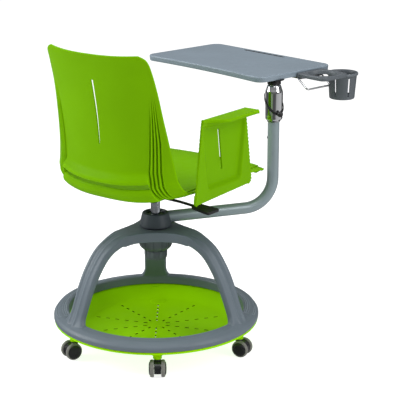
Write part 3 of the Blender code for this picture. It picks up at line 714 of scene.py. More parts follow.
def make_tread_pad(name, start, end):
    """A raised foot pad on the ring's top: an outline bead round rows of small domes."""
    inner, outer, z_inner, z_outer = 0.268, 0.2975, 0.1074, 0.1

    def on_ring(share, degrees, lift=0.0):
        radius = inner + (outer - inner) * share
        z = z_inner + (z_outer - z_inner) * (0.45 * share + 0.55 * share ** 2)
        return polar(radius, degrees, z + lift)

    pieces = []
    border = [(0.0, start), (0.0, end), (1.0, end - 1.5), (1.0, start + 1.5), (0.0, start)]
    path = []
    for (share, degrees), (next_share, next_degrees) in zip(border, border[1:]):
        runs = max(2, int(abs(next_degrees - degrees) / 1.5))
        for k in range(runs):
            f = k / runs
            path.append(on_ring(share + (next_share - share) * f,
                                degrees + (next_degrees - degrees) * f, -0.0002))
    bead = [(0.0009 * math.cos(a), 0.0011 * math.sin(a)) for a in np.linspace(0, 2 * math.pi, 7)[:-1]]
    pieces.append(sweep(f"{name}_bead", path, bead, closed=True))
    pitch = 1.25
    columns = int((end - start - 3.0) / pitch)
    for row in range(4):
        for column in range(columns):
            degrees = start + 2.0 + (column + 0.5 * (row % 2)) * pitch
            at = on_ring(0.17 + 0.22 * row, degrees, -0.0003)
            dome = lathe("dome", ((0.0016, -0.0004), (0.0014, 0.0005), (0.0008, 0.001), (0.0, 0.0012)), 8)
            weld(dome)
            pieces.append(moved(dome, placed(at)))
    pad = moved(joined(name, pieces), AT_COLUMN)
    fit(pad, "base", "base_grey", PAD_GREY)


# The storage tray

TRAY_RIM = 0.0782
CASTER_DEGREES = tuple(9.3 + 60 * k for k in range(6))
SWIVEL_RADIUS = 0.2764
VIEW_DEGREES = 127.0  # one row of drain slots points this way
DRAIN_ROWS = 10
DRAIN_SLOTS = 6
DRAIN_PITCH = 0.0305
DRAIN_HALF = (0.0068, 0.0023)  # half a slot's length and width


def drain_slots():
    """All the rows of slots, as one cutter whose faces carry the painted slot shade."""
    slots = []
    for row in range(DRAIN_ROWS):
        for k in range(1, DRAIN_SLOTS + 1):
            radius = 0.0045 + DRAIN_PITCH * k
            outline = round_outline(*DRAIN_HALF, 0.0022, 3)
            slot = loft("slot", [[(x, y, z) for x, y in outline] for z in (0.03, 0.06)])
            degrees = VIEW_DEGREES + 360 / DRAIN_ROWS * row
            turn = turned(degrees)
            slots.append(moved(slot, placed(polar(radius, degrees)) @ turn))
    cutter = joined("slots", slots)
    # The cutter's faces take the painted-shade material, so the walls of the cut slots are darkened as if in
    # shadow.
    paint(cutter, LIT_TRAY_GREEN, PAINTED_SLOT_SHADE)
    for face in cutter.data.polygons:
        face.material_index = 1
    return cutter


def make_tray():
    dish = lathe("dish", (
        (0.0, 0.0445), (0.12, 0.0445), (0.204, 0.0447), (0.222, 0.048), (0.238, 0.056),
        (0.252, 0.067), (0.26, 0.0745), (0.264, 0.0779), (0.269, TRAY_RIM), (0.302, TRAY_RIM),
        (0.3035, 0.077), (0.3035, 0.0725), (0.302, 0.0712), (0.273, 0.0702), (0.265, 0.0692),
        (0.256, 0.0635), (0.242, 0.0525), (0.224, 0.044), (0.206, 0.0407), (0.0, 0.04),
    ), 192)
    # Second material: the painted shade that the slot walls take from the cutter.
    paint(dish, LIT_TRAY_GREEN, PAINTED_SLOT_SHADE)
    cut(dish, drain_slots())
    # A shallow round boss in the floor, towards the front of the chair.
    boss = lathe("tray_boss", (
        (0.0, 0.0464), (0.019, 0.0464), (0.0225, 0.0461), (0.025, 0.0453), (0.0265, 0.0446),
        (0.0265, 0.043), (0.0, 0.043),
    ), 48)
    moved(boss, placed(polar(0.195, VIEW_DEGREES + 180)))
    pieces = [dish, boss]
    for degrees in CASTER_DEGREES:
        stub = lathe("stub", (
            (0.0061, 0.07), (0.0061, 0.0515), (0.0118, 0.0515), (0.0126, 0.0523), (0.0126, 0.0585),
            (0.0136, 0.0625), (0.0158, 0.066), (0.02, 0.069), (0.0215, 0.0725), (0.0061, 0.0725),
        ), 40, closed=True)
        place = placed(polar(SWIVEL_RADIUS, degrees))
        pieces.append(moved(stub, place))
        for side in (-1, 1):
            web = slab("web", round_outline(0.018, 0.0012, 0.001, 2), 0.053, 0.072, 0.0003, 1)
            turn = turned(degrees + 90)
            shift = placed((side * 0.017, 0.0, 0.0))
            taper_web(web, side)
            pieces.append(moved(web, place @ turn @ shift))
    tray = moved(joined("tray_moulding", pieces), AT_COLUMN)
    paint(tray, LIT_TRAY_GREEN, PAINTED_SLOT_SHADE)
    fit(tray, "base", "tray_green", LIT_TRAY_GREEN, "storage_tray")


def taper_web(web, side):
    """Cuts the web away towards its far end, so that it braces the stub like a gusset."""
    for vertex in web.data.vertices:
        far = (vertex.co.x * side + 0.018) / 0.036
        if vertex.co.z < 0.06:
            vertex.co.z += 0.0165 * max(far, 0.0)


# Column pieces

def make_nut():
    """Nut under the crown, with broad facets parted by grooves."""
    facets = 12
    steps = 144
    profile = ((0.0256, 0.2846), (0.0335, 0.2843), (0.0385, 0.2862), (0.044, 0.2915), (0.0472, 0.296),
               (0.0486, 0.3), (0.049, 0.305), (0.049, 0.3243), (0.0256, 0.3243))
    vertices, rings = [], []
    for radius, z in profile:
        ring = []
        for k in range(steps):
            within = (k % (steps // facets)) / (steps // facets)
            groove = math.exp(-(min(within, 1 - within) / 0.11) ** 2)
            depth = 0.0022 * groove if radius > 0.034 else 0.0
            ring.append(len(vertices))
            vertices.append(polar(radius - depth, 360.0 * k / steps, z))
        rings.append(ring)
    rings.append(rings[0])
    nut = moved(faces_out(add_mesh("column_nut_fluted", vertices, bridge(rings))), AT_COLUMN)
    fit(nut, "base", "nut_grey", NUT_GREY, "column_nut")


def make_column():
    inner = 0.0252
    cap = lathe("end_cap_body", (
        (inner, 0.2836), (0.03, 0.2836), (0.0322, 0.28), (0.0325, 0.26), (0.0312, 0.2572),
        (0.0285, 0.256), (0.0, 0.256), (0.0, 0.262), (inner, 0.262), (inner, 0.2836),
    ), 64)
    pieces = [cap]
    for k in range(8):
        tab = slab("tab", round_outline(0.0022, 0.005, 0.001, 2), 0.264, 0.283, 0.0006, 1)
        turn = turned(45 * k + 20)
        pieces.append(moved(tab, turn @ placed((0.0322, 0.0, 0.0))))
    cap = moved(joined("end_cap", pieces), AT_COLUMN)
    fit(cap, "base", "base_grey", NUT_GREY, "column_end_cap")

    washer = lathe("bearing_washer", (
        (inner, 0.3569), (0.044, 0.3569), (0.044, 0.3543), (inner, 0.3543),
    ), 96, closed=True, rounding=0.0007)
    fit(moved(washer, AT_COLUMN), "base", "black_plastic", BLACK, "hub_bearing_washer")

    cylinder = lathe("gas_cylinder_body", (
        (0.0145, 0.3915), (0.0225, 0.3915), (0.0248, 0.3895), (0.0248, 0.266), (0.0225, 0.2625),
        (0.0, 0.2625), (0.0, 0.2685), (0.0195, 0.2685), (0.0195, 0.3795), (0.0145, 0.3795),
        (0.0145, 0.3915),
    ), 64)
    fit(moved(cylinder, AT_COLUMN), "base", "black_metal", BLACK_PAINT, "gas_cylinder")

    rod = lathe("gas_rod_body", (
        (0.0, 0.474), (0.013, 0.474), (0.014, 0.4725), (0.014, 0.288), (0.019, 0.286),
        (0.019, 0.274), (0.0, 0.274),
    ), 64)
    fit(moved(rod, AT_COLUMN), "gas_lift", "chrome", ROD, "gas_rod")


# The desk arm

HUB_BOTTOM = 0.3573
HUB_TOP = 0.398
ARM_HEIGHT = 0.379
ARM_BEND = 0.087
TUBE_RADIUS = 0.0175
POST_TOP = 0.7
SLEEVE_BOTTOM = 0.645
SLEEVE_TOP = 0.749
SLEEVE_RADIUS = 0.0265


def arm_path(start, end):
    path = [polar(start + (ARM_RADIUS - ARM_BEND - start) * k / 6, ARM_DEGREES, ARM_HEIGHT) for k in range(6)]
    for degrees in range(0, 91, 5):
        a = math.radians(degrees)
        radius = ARM_RADIUS - ARM_BEND + ARM_BEND * math.sin(a)
        path.append(polar(radius, ARM_DEGREES, ARM_HEIGHT + ARM_BEND * (1 - math.cos(a))))
    low = ARM_HEIGHT + ARM_BEND
    path += [polar(ARM_RADIUS, ARM_DEGREES, low + (end - low) * k / 6) for k in range(1, 7)]
    return path


def make_desk_arm():
    inner = 0.0254
    hub = lathe("hub_body", (
        (inner, HUB_TOP - 0.006), (0.029, HUB_TOP - 0.0045), (0.03, HUB_TOP), (0.0362, HUB_TOP),
        (0.039, HUB_TOP - 0.0024), (0.0476, HUB_BOTTOM + 0.0035), (0.047, HUB_BOTTOM),
        (inner, HUB_BOTTOM),
    ), 96, closed=True, rounding=0.0016)
    turn = turned(ARM_DEGREES) @ turned(90, "Y")
    start = placed(polar(0.03, ARM_DEGREES, ARM_HEIGHT))
    cut(hub, moved(bore(0.0178, 0.0, 0.04), start @ turn))
    fit(moved(hub, AT_COLUMN), "desk_arm", "hub_grey", HUB_GREY, "desk_arm_hub")

    pipe = tube("arm_pipe", arm_path(0.0303, POST_TOP), TUBE_RADIUS, 40)
    hollow = tube("arm_hollow", arm_path(0.025, POST_TOP + 0.01), 0.0155, 32)
    cut(pipe, hollow)
    fit(moved(pipe, AT_COLUMN), "desk_arm", "silver_paint", SILVER, "desk_arm_tube")

    plug = lathe("plug_cap", (
        (0.0, 0.0018), (0.0024, 0.0016), (0.0035, 0.0006), (0.0035, 0.0), (0.0, 0.0),
    ), 24)
    side = turned(37.0) @ turned(90, "Y")
    plug_at = placed(polar(TUBE_RADIUS + GAP, 37.0, 0.59))
    fit(moved(plug, AT_POST @ plug_at @ side), "desk_arm", "black_plastic", BLACK, "tube_plug")

    around_tube, around_mast = TUBE_RADIUS + 0.0004, 0.0153
    sleeve = lathe("sleeve_body", (
        (around_mast, SLEEVE_TOP), (0.0195, SLEEVE_TOP), (0.0212, SLEEVE_TOP - 0.003),
        (0.0234, SLEEVE_TOP - 0.011), (0.0257, SLEEVE_TOP - 0.0165), (SLEEVE_RADIUS, SLEEVE_TOP - 0.023),
        (SLEEVE_RADIUS, SLEEVE_BOTTOM + 0.014), (0.0261, SLEEVE_BOTTOM + 0.0122),
        (0.0261, SLEEVE_BOTTOM + 0.004), (0.0232, SLEEVE_BOTTOM), (around_tube, SLEEVE_BOTTOM),
        (around_tube, POST_TOP + GAP), (around_mast, POST_TOP + GAP),
    ), 96, closed=True, rounding=0.0011)
    fit(moved(sleeve, AT_POST), "desk_arm", "chrome", CHROME, "mast_sleeve")

    for k, (degrees, z) in enumerate(((172.0, 0.73), (60.0, 0.73))):
        screw = lathe(f"sleeve_screw_{k}", ((0.0, 0.0009), (0.0014, 0.0009), (0.002, 0.0003),
                                            (0.002, -0.0006), (0.0, -0.0006)), 16)
        at = placed(polar(0.0261, degrees, z))
        side = turned(degrees) @ turned(90, "Y")
        fit(moved(screw, AT_POST @ at @ side), "desk_arm", "black_plastic", BLACK)

    ring = lathe("sleeve_ring", (
        (around_tube, SLEEVE_BOTTOM - GAP), (0.0203, SLEEVE_BOTTOM - GAP), (0.0203, 0.6395),
        (around_tube, 0.6395),
    ), 64, closed=True, rounding=0.0008)
    fit(moved(ring, AT_POST), "desk_arm", "bright_steel", STEEL, "sleeve_end_ring")


LOOP_DEGREES = 156.0
LOOP_RADIUS = 0.0289
LOOP_LOW = 0.6675
LOOP_RISE = 0.03


def make_release_loop():
    """Black band slanting round the sleeve, and the round knob at its low end."""
    slide = AT_POST @ placed((0.0, 0.0, LOOP_LOW)) @ turned(LOOP_DEGREES)
    knob = lathe("knob_body", (
        (0.0, 0.007), (0.0045, 0.0068), (0.0072, 0.005), (0.0087, 0.002), (0.009, 0.0),
        (0.0083, -0.003), (0.0, -0.003),
    ), 40)
    at = placed((LOOP_RADIUS + 0.0067, 0.0, 0.0))
    lie = turned(90, "Y")
    fit(moved(knob, slide @ at @ lie), "release_lever", "black_plastic", BLACK, "release_knob")

    rings = []
    for k in range(96):
        a = 2 * math.pi * k / 96
        half = 0.0026 + 0.0022 * (1 + math.cos(a)) / 2
        middle_z = LOOP_RISE * (1 - math.cos(a))
        ring = []
        for n in range(14):
            b = 2 * math.pi * n / 14
            radius = LOOP_RADIUS - 0.0006 + 0.0013 * math.cos(b)
            ring.append((radius * math.cos(a), radius * math.sin(a), middle_z + half * math.sin(b)))
        rings.append(ring)
    numbers = [list(range(14 * k, 14 * k + 14)) for k in range(96)]
    vertices = [point for ring in rings for point in ring]
    band = faces_out(add_mesh("release_band", vertices, bridge(numbers + numbers[:1])))
    fit(moved(band, slide), "release_lever", "black_plastic", BLACK, "release_loop")


def make_mast():
    mast = lathe("mast_pipe", (
        (0.0128, 0.761), (0.0148, 0.761), (0.0148, 0.56), (0.0128, 0.56),
    ), 64, closed=True, rounding=0.0005)
    fit(moved(mast, AT_POST), "mast", "bright_steel", STEEL, "mast_tube")
    collar = lathe("mast_boot", (
        (0.0151, 0.7617), (0.0188, 0.7617), (0.0196, 0.7608), (0.02, 0.759), (0.0203, 0.7535),
        (0.0195, 0.7515), (0.0151, 0.7515),
    ), 64, closed=True, rounding=0.0006)
    fit(moved(collar, AT_POST), "mast", "black_plastic", BLACK, "mast_collar")


# The tablet, its cup plate, cup and wire rest; placed from the tablet's middle

TABLET_HALF = (0.256, 0.155)
TABLET_HOLLOW = 0.01
CUP_CENTRE = (-0.2965, -0.156)
CUP_HOLE = (-0.3095, -0.052)
BAIL_AXIS = (-0.2535, -0.056)
BAIL_HEIGHT = 0.7631


def tablet_outline():
    """Rounded rectangle whose edge on the sitter's side is slightly hollow."""
    half_x, half_y = TABLET_HALF
    points = []
    inner = half_x - 0.03
    for sign_x, sign_y, start in ((1, 1, 0), (-1, 1, 90), (-1, -1, 180), (1, -1, 270)):
        centre = (sign_x * inner, sign_y * (half_y - 0.03))
        points += arc(centre, 0.03, start, start + 90, 12)
        if (sign_x, sign_y) == (1, 1):
            for k in range(1, 30):
                x = inner - 2 * inner * k / 30
                points.append((x, half_y - TABLET_HOLLOW * (1 - (x / inner) ** 2)))
    return points


def make_tablet():
    outline = tablet_outline()
    rings = []
    # Underside recess, undercut lip, side face, then the top's rounded edge.
    for distance, z in (
        (0.02, 0.7705), (0.012, 0.7705), (0.0105, 0.768), (0.009, 0.7675), (0.004, 0.7675),
        (0.0026, 0.768), (0.0016, 0.7692), (0.001, 0.772), (0.0003, 0.779), (0.0, 0.7815),
        (0.0004, 0.7831), (0.0014, 0.7843), (0.003, 0.785), (0.006, 0.785),
    ):
        rings.append([(x, y, z) for x, y in inset(outline, distance)])
    top = loft("writing_top", rings)
    outline = round_outline(0.088, 0.005, 0.0049, middle=(0.015, -0.133))
    groove = slab("pencil_groove", outline, 0.7822, 0.79, 0.0006, 3)
    cut(paint(top, TOP_GREY, BLACK), paint(groove, BLACK))
    fit(moved(top, AT_TABLET), "tablet", "tablet_grey", TOP_GREY, "tablet_top")

    mount = lathe("mount_body", (
        (0.0, 0.762), (0.019, 0.762), (0.0285, 0.7646), (0.03, 0.7654), (0.03, 0.7672), (0.0, 0.7672),
    ), 64)
    fit(moved(mount, AT_POST), "tablet", "black_metal", BLACK_PAINT, "tablet_mount")


def make_cup_plate():
    low, high, corner, tight = (-0.365, -0.108), (-0.2563, 0.004), 0.018, 0.003
    outline = arc((high[0] - tight, high[1] - tight), tight, 0, 90, 3)
    outline += arc((low[0] + corner, high[1] - corner), corner, 90, 180, 12)
    outline += arc((low[0] + corner, low[1] + corner), corner, 180, 270, 12)
    outline += arc((high[0] - tight, low[1] + tight), tight, 270, 360, 3)
    plate = slab("plate_body", outline, 0.7675, 0.7792, 0.0028)
    hole = lathe("cup_hole", ((0.0, 0.75), (0.0432, 0.75), (0.0432, 0.768), (0.0438, 0.777),
                          (0.045, 0.779), (0.047, 0.7798), (0.047, 0.79), (0.0, 0.79)), 96)
    cut(plate, moved(hole, placed((*CUP_HOLE, 0.0))))
    fit(moved(plate, AT_TABLET), "tablet", "tablet_grey", CUP_GREY, "cup_holder_plate")

    outline = round_outline(0.026, 0.046, 0.004, middle=(-0.238, -0.056))
    bracket = slab("bracket_body", outline, 0.759, 0.7672, 0.0012)
    for y in (-0.102, -0.01):
        pivot = placed((BAIL_AXIS[0], y, BAIL_HEIGHT)) @ turned(90, "X")
        cut(bracket, moved(bore(0.0028, -0.009, 0.009, 24), pivot))
    fit(moved(bracket, AT_TABLET), "tablet", "bright_steel", STEEL, "bail_bracket")


def make_bail():
    x, y = BAIL_AXIS
    corners = [(x, y + 0.038, BAIL_HEIGHT), (x, y + 0.051, BAIL_HEIGHT),
               (x - 0.0395, y + 0.051, BAIL_HEIGHT - 0.03),
               (x - 0.0395, y - 0.051, BAIL_HEIGHT - 0.03),
               (x, y - 0.051, BAIL_HEIGHT), (x, y - 0.038, BAIL_HEIGHT)]
    path = bent(corners, 0.008)
    wire = tube("bail_wire", path, 0.0028, 20)
    fit(moved(wire, AT_TABLET), "bail", "chrome", CHROME, "cup_bail")


def make_cup():
    top, bottom = 0.7672, 0.687
    cup = lathe("cup_body", (
        (0.0, bottom), (0.0355, bottom), (0.0377, bottom + 0.0012), (0.0386, bottom + 0.004),
        (0.0435, top - 0.011), (0.044, top - 0.0085), (0.0466, top - 0.0075), (0.0475, top - 0.006),
        (0.0475, top - 0.0015), (0.0464, top), (0.0434, top), (0.0424, top - 0.0015),
        (0.0415, top - 0.01), (0.0365, bottom + 0.005), (0.035, bottom + 0.0032),
        (0.0, bottom + 0.003),
    ), 96)
    slots = []
    for k in range(6):
        slot = slab("slot", round_outline(0.012, 0.0026, 0.0022, 3), bottom + 0.01, top - 0.014, 0.0008, 2)
        turn = turned(60 * k + 40.7)
        slots.append(moved(slot, turn @ placed((0.0425, 0.0, 0.0))))
    cut(cup, joined("cup_slots", slots))
    fit(moved(cup, AT_TABLET @ placed((*CUP_CENTRE, 0.0))), "tablet", "cup_grey", CUP_GREY, "pencil_cup")


# The seat

SEAT_STATIONS = (
    (-0.3, 0.484, 0.165, -0.285, 0.484), (-0.306, 0.494, 0.182, -0.286, 0.495),
    (-0.296, 0.502, 0.195, -0.272, 0.503), (-0.25, 0.503, 0.205, -0.235, 0.51),
    (-0.17, 0.499, 0.214, -0.165, 0.517), (-0.08, 0.495, 0.22, -0.08, 0.521),
    (0.01, 0.494, 0.2235, 0.005, 0.523), (0.09, 0.494, 0.225, 0.075, 0.524),
    (0.155, 0.496, 0.225, 0.119, 0.525), (0.2, 0.502, 0.223, 0.145, 0.531),
    (0.227, 0.516, 0.219, 0.158, 0.542), (0.236, 0.533, 0.213, 0.164, 0.556),
    (0.238, 0.549, 0.208, 0.167, 0.572), (0.236, 0.6, 0.2, 0.174, 0.62),
    (0.238, 0.665, 0.193, 0.184, 0.675), (0.245, 0.735, 0.187, 0.198, 0.74),
    (0.257, 0.805, 0.183, 0.213, 0.805), (0.27, 0.865, 0.179, 0.232, 0.866),
    (0.278, 0.895, 0.173, 0.246, 0.899), (0.281, 0.906, 0.153, 0.256, 0.9114),
)
SLOT_ROWS = (10.75, 12)
SLOT_REACH = 0.72
# Down the shell's edge, by station: how wide the plain rim is, and how far in the panel ends.
EDGE_ROWS = (
    (4.0, 0.022, 0.04), (7.0, 0.024, 0.048), (9.0, 0.026, 0.056), (11.0, 0.026, 0.062),
    (12.5, 0.024, 0.06), (14.0, 0.0125, 0.044), (15.0, 0.009, 0.031), (16.2, 0.006, 0.017),
    (19.0, 0.006, 0.017),
)
PLEATS = 4
# The lip below the slot, by station: how far it stands out.
LIP_ROWS = (
    (8.4, 0.0), (8.9, 0.002), (9.35, 0.012), (9.7, 0.0115), (10.3, 0.008), (10.8, 0.003), (11.0, 0.0),
)
BODY_THICKNESS = 0.0046
PLEAT_CREST = 0.0088
PLEAT_FLOOR = 0.0002


def seat_grid(us, ts, lift=0.0):
    """Points of the upper surface over the grid, and unit normals on the sitter's side."""
    def points(u, t):
        y, z, half, rim_y, rim_z = catmull_rom(SEAT_STATIONS, t).T
        power = 3.0 - 0.6 * smoothstep((t - 10.5) / 2.0)
        share = np.abs(u)[None, :] ** power[:, None]
        x = half[:, None] * u[None, :]
        return np.stack((x, y[:, None] + (rim_y - y)[:, None] * share,
                         z[:, None] + (rim_z - z)[:, None] * share), axis=-1)

    step = 0.01
    last = len(SEAT_STATIONS) - 1
    across = points(np.minimum(us + step, 1), ts) - points(np.maximum(us - step, -1), ts)
    along = points(us, np.minimum(ts + step, last)) - points(us, np.maximum(ts - step, 0))
    normals = np.cross(across, along)
    normals /= np.linalg.norm(normals, axis=-1, keepdims=True)
    return points(us, ts) + normals * lift, normals


def back_relief(us, ts):
    """How far the shell's rear and under side stands out beyond its plain thickness."""
    half = catmull_rom(SEAT_STATIONS, ts)[:, 2]
    rows = np.array(EDGE_ROWS)
    rim = np.interp(ts, rows[:, 0], rows[:, 1])[:, None]
    panel = np.interp(ts, rows[:, 0], rows[:, 2])[:, None]
    from_edge = (1 - np.abs(us))[None, :] * half[:, None]
    # Pleats run between the rim and the panel, shallow at the top and deep at the bend.
    strength = smoothstep((16.4 - ts) / 2.6) * smoothstep((ts - 5.0) / 3.0)
    phase = np.clip((from_edge - rim) / (panel - rim), 0.0, 1.0) * PLEATS
    off_groove = np.abs(phase % 1.0 - 0.5)
    crest = 1 - np.exp(-(off_groove / 0.2) ** 2)
    inside = (from_edge > rim) & (from_edge < panel)
    pleats = np.where(inside, PLEAT_FLOOR + (PLEAT_CREST - PLEAT_FLOOR) * crest, 0.007)
    in_panel = smoothstep((from_edge - panel) / 0.004 + 1.0)
    pleats = pleats + (BODY_THICKNESS - pleats) * in_panel
    relief = BODY_THICKNESS + (pleats - BODY_THICKNESS) * strength[:, None]
    # Panel's lower edge curls out over the slot, and the lip below it stands out and turns under.
    curl = 0.0125 * smoothstep((12.62 - ts) / 0.5) * (ts >= 11.5)
    lip_rows, lip_stands = np.array(LIP_ROWS).T
    skirt = np.interp(ts, lip_rows, lip_stands)
    # The seat's front edge is thicker.
    front = 0.0075 * smoothstep((1.9 - ts) / 1.5)
    return relief + front[:, None] + (curl[:, None] + skirt[:, None]) * in_panel


def rolled_sheet(name, inner, outer, keep, roll=6):
    """A closed skin between two grids of points, with rolled edges round every border."""
    rows, columns = inner.shape[:2]
    count = rows * columns
    vertices = np.concatenate((inner.reshape(-1, 3), outer.reshape(-1, 3))).tolist()
    quads = [(r * columns + c, r * columns + c + 1, (r + 1) * columns + c + 1, (r + 1) * columns + c)
             for r in range(rows - 1) for c in range(columns - 1) if keep[r, c]]
    edges = {}
    for quad in quads:
        for a, b in zip(quad, quad[1:] + quad[:1]):
            if (b, a) in edges:
                del edges[(b, a)]
            else:
                edges[(a, b)] = quad
    points = inner.reshape(-1, 3), outer.reshape(-1, 3)
    middles = (points[0] + points[1]) / 2
    outward = {}
    for (a, b), quad in edges.items():
        centre = middles[list(quad)].mean(axis=0)
        away = (middles[a] + middles[b]) / 2 - centre
        along = middles[b] - middles[a]
        away -= along * (away @ along) / max(along @ along, 1e-12)
        away /= max(np.linalg.norm(away), 1e-9)
        for vertex in (a, b):
            outward[vertex] = outward.get(vertex, 0) + away
    rims = {}
    for vertex, away in outward.items():
        away = away / max(np.linalg.norm(away), 1e-9)
        half = (points[1][vertex] - points[0][vertex]) / 2
        reach = away * min(np.linalg.norm(half), 0.006)
        ring = [vertex]
        for k in range(1, roll):
            a = math.pi * k / roll
            ring.append(len(vertices))
            vertices.append((middles[vertex] - half * math.cos(a) + reach * math.sin(a)).tolist())
        ring.append(vertex + count)
        rims[vertex] = ring
    faces = [list(q) for q in quads] + [[v + count for v in q[::-1]] for q in quads]
    for a, b in edges:
        for k in range(roll):
            faces.append([rims[b][k], rims[a][k], rims[a][k + 1], rims[b][k + 1]])
    return faces_out(drop_loose(add_mesh(name, vertices, faces)))


def make_shell():
    side = np.linspace(0.7, 1.0, 58)
    centre = np.linspace(-0.7, 0.7, 57)
    us = np.concatenate((-side[::-1], centre[1:-1], side))
    # The columns of points nearest to the slot's ends move onto them.
    slot_u = us[np.abs(np.abs(us) - SLOT_REACH).argmin()]
    us[np.abs(us - abs(slot_u)).argmin()] = SLOT_REACH
    us[np.abs(us + abs(slot_u)).argmin()] = -SLOT_REACH
    ts = np.linspace(0, len(SEAT_STATIONS) - 1, (len(SEAT_STATIONS) - 1) * 8 + 1)
    inner, normals = seat_grid(us, ts)
    outer = inner - normals * (0.0004 + back_relief(us, ts))[..., None]
    u_mid = (us[1:] + us[:-1]) / 2
    t_mid = (ts[1:] + ts[:-1]) / 2
    in_rows = (t_mid > SLOT_ROWS[0]) & (t_mid < SLOT_ROWS[1])
    keep = ~(in_rows[:, None] & (np.abs(u_mid) < SLOT_REACH)[None, :])
    shell = rolled_sheet("seat_shell_skin", inner, outer, keep)
    corners = ((0.0024, 0.65), (0.0044, 0.834), (-0.0044, 0.834), (-0.0024, 0.65))
    outline = soften(corners, 0.0022, True, 3)
    rings = [[(x, y, z) for x, z in outline] for y in (0.2, 0.33)]
    cut(shell, loft("back_slit", rings))
    fit(moved(shell, AT_COLUMN), "seat", "seat_green", GREEN, "seat_shell", angle=50)

    us = np.linspace(-0.865, 0.865, 76)
    ts = np.linspace(2.0, 9.05, 90)
    low, normals = seat_grid(us, ts, 0.0004)
    edge = np.minimum(1 - np.abs(us) / 0.865, 0.08)[None, :] / 0.08
    ends = np.minimum(np.minimum(ts - 2.0, 9.05 - ts), 0.35)[:, None] / 0.35
    crown = 0.003 + 0.0022 * smoothstep(edge) * smoothstep(ends)
    pad = rolled_sheet("seat_pad", low, low + normals * crown[..., None], np.ones((89, 75), bool), roll=4)
    fit(moved(pad, AT_COLUMN), "seat", "seat_green", GREEN, "seat_insert", angle=50)


ARMREST_INNER = -0.255
ARMREST_OUTER = -0.261
ARMREST_BOTTOM = 0.505
ARMREST_TOP = 0.73
ARMREST_LENGTH = 0.25
FLANGE_REACH = 0.051  # of the flange along the armrest's top, out from the panel


def armrest_section(reach):
    """Loop of (x, z), anticlockwise seen from the front: reach is how far the flange stands out."""
    inner, outer = ARMREST_INNER, ARMREST_OUTER
    bottom, top = ARMREST_BOTTOM, ARMREST_TOP
    tip = outer - FLANGE_REACH * reach
    corners = ((inner, bottom), (inner, top), (tip, top), (tip, 0.7205), (outer, 0.7165), (outer, bottom))
    radii = (0.0028, 0.0035, 0.0046, 0.0046, 0.022 * reach + 0.0004, 0.0028)
    runs = (44, 10, 1, 6, 44, 1)
    corners = [Vector(corner) for corner in corners]
    curves = []
    for k, corner in enumerate(corners):
        before, after = corners[k - 1], corners[(k + 1) % len(corners)]
        start = corner + (before - corner).normalized() * min(radii[k], (before - corner).length * 0.45)
        end = corner + (after - corner).normalized() * min(radii[k], (after - corner).length * 0.45)
        curves.append([start.lerp(corner, t).lerp(corner.lerp(end, t), t) for t in np.linspace(0, 1, 7)])
    points = []
    for k, curve in enumerate(curves):
        following = curves[(k + 1) % len(curves)][0]
        points += curve
        points += [curve[-1].lerp(following, step / runs[k]) for step in range(1, runs[k])]
    return points


def recess_depth(y, z):
    """0 on the armrest's border and 1 in its recess, which narrows downwards."""
    share = (z - 0.53) / 0.17
    rear, front = 0.086 + 0.024 * share, -0.058 - 0.026 * share
    depth = smoothstep((rear - y) / 0.012 + 0.5) * smoothstep((y - front) / 0.012 + 0.5)
    return float(depth * smoothstep((z - 0.526) / 0.014) * smoothstep((0.713 - z) / 0.012))


def corner_cut(height, radius):
    """How far an end stands back at this height over the bottom edge, for a rounded corner."""
    inside = max(radius - height, 0.0)
    return radius - math.sqrt(max(radius ** 2 - inside ** 2, 0.0))


def make_armrest():
    rounding = 0.0028
    ends = [rounding * (1 - math.cos(a)) / ARMREST_LENGTH for a in np.linspace(0, math.pi / 2, 6)]
    shares = ends + list(np.linspace(0.022, 0.978, 90)) + [1 - end for end in ends[::-1]]
    rings = []
    for share in shares:
        reach = 1.0 - 0.93 * float(smoothstep((share - 0.7) / 0.28))
        depth = min(share, 1 - share) * ARMREST_LENGTH
        pull = rounding - math.sqrt(max(rounding ** 2 - max(rounding - depth, 0.0) ** 2, 0.0))
        section = inset([tuple(p) for p in armrest_section(reach)][::-1], pull)[::-1]
        ring = []
        for x, z in section:
            up = (z - ARMREST_BOTTOM) / 0.217
            low = ARMREST_BOTTOM - 0.01 * share
            z += (low - ARMREST_BOTTOM) * max(1 - up, 0.0)
            front = -0.1175 + 0.0315 * up + corner_cut(z - low, 0.014)
            rear = 0.15 - 0.033 * up - corner_cut(z - low, 0.009)
            y = front + (rear - front) * share
            if share < 0.5:
                # The flange's free corner is round.
                beyond = min(max(-0.3 - x, 0.0), 0.0119)
                y += (0.012 - math.sqrt(0.012 ** 2 - beyond ** 2)) * (1 - share / 0.5)
            if x > (ARMREST_INNER + ARMREST_OUTER) / 2:
                x += 0.009 * recess_depth(y, z)
            elif x > ARMREST_OUTER - 0.001:
                x += 0.01 * recess_depth(y, z)
            ring.append((x, y, z))
        rings.append(ring)
    rest = fused("armrest_panel", [loft("armrest_body", rings)], 0.0016, 7)
    outline = [(0.0238 + 0.13 * (z - 0.63) + side, z)
               for side, z in ((-0.0042, 0.5705), (0.0042, 0.5705), (0.0042, 0.6895), (-0.0042, 0.6895))]
    outline = soften(outline, 0.003, True, 3)
    cut(rest, loft("slit", [[(x, y, z) for y, z in outline] for x in (-0.3, -0.22)]))
    fit(moved(rest, AT_COLUMN), "seat", "seat_green", GREEN, "armrest_right", angle=45)


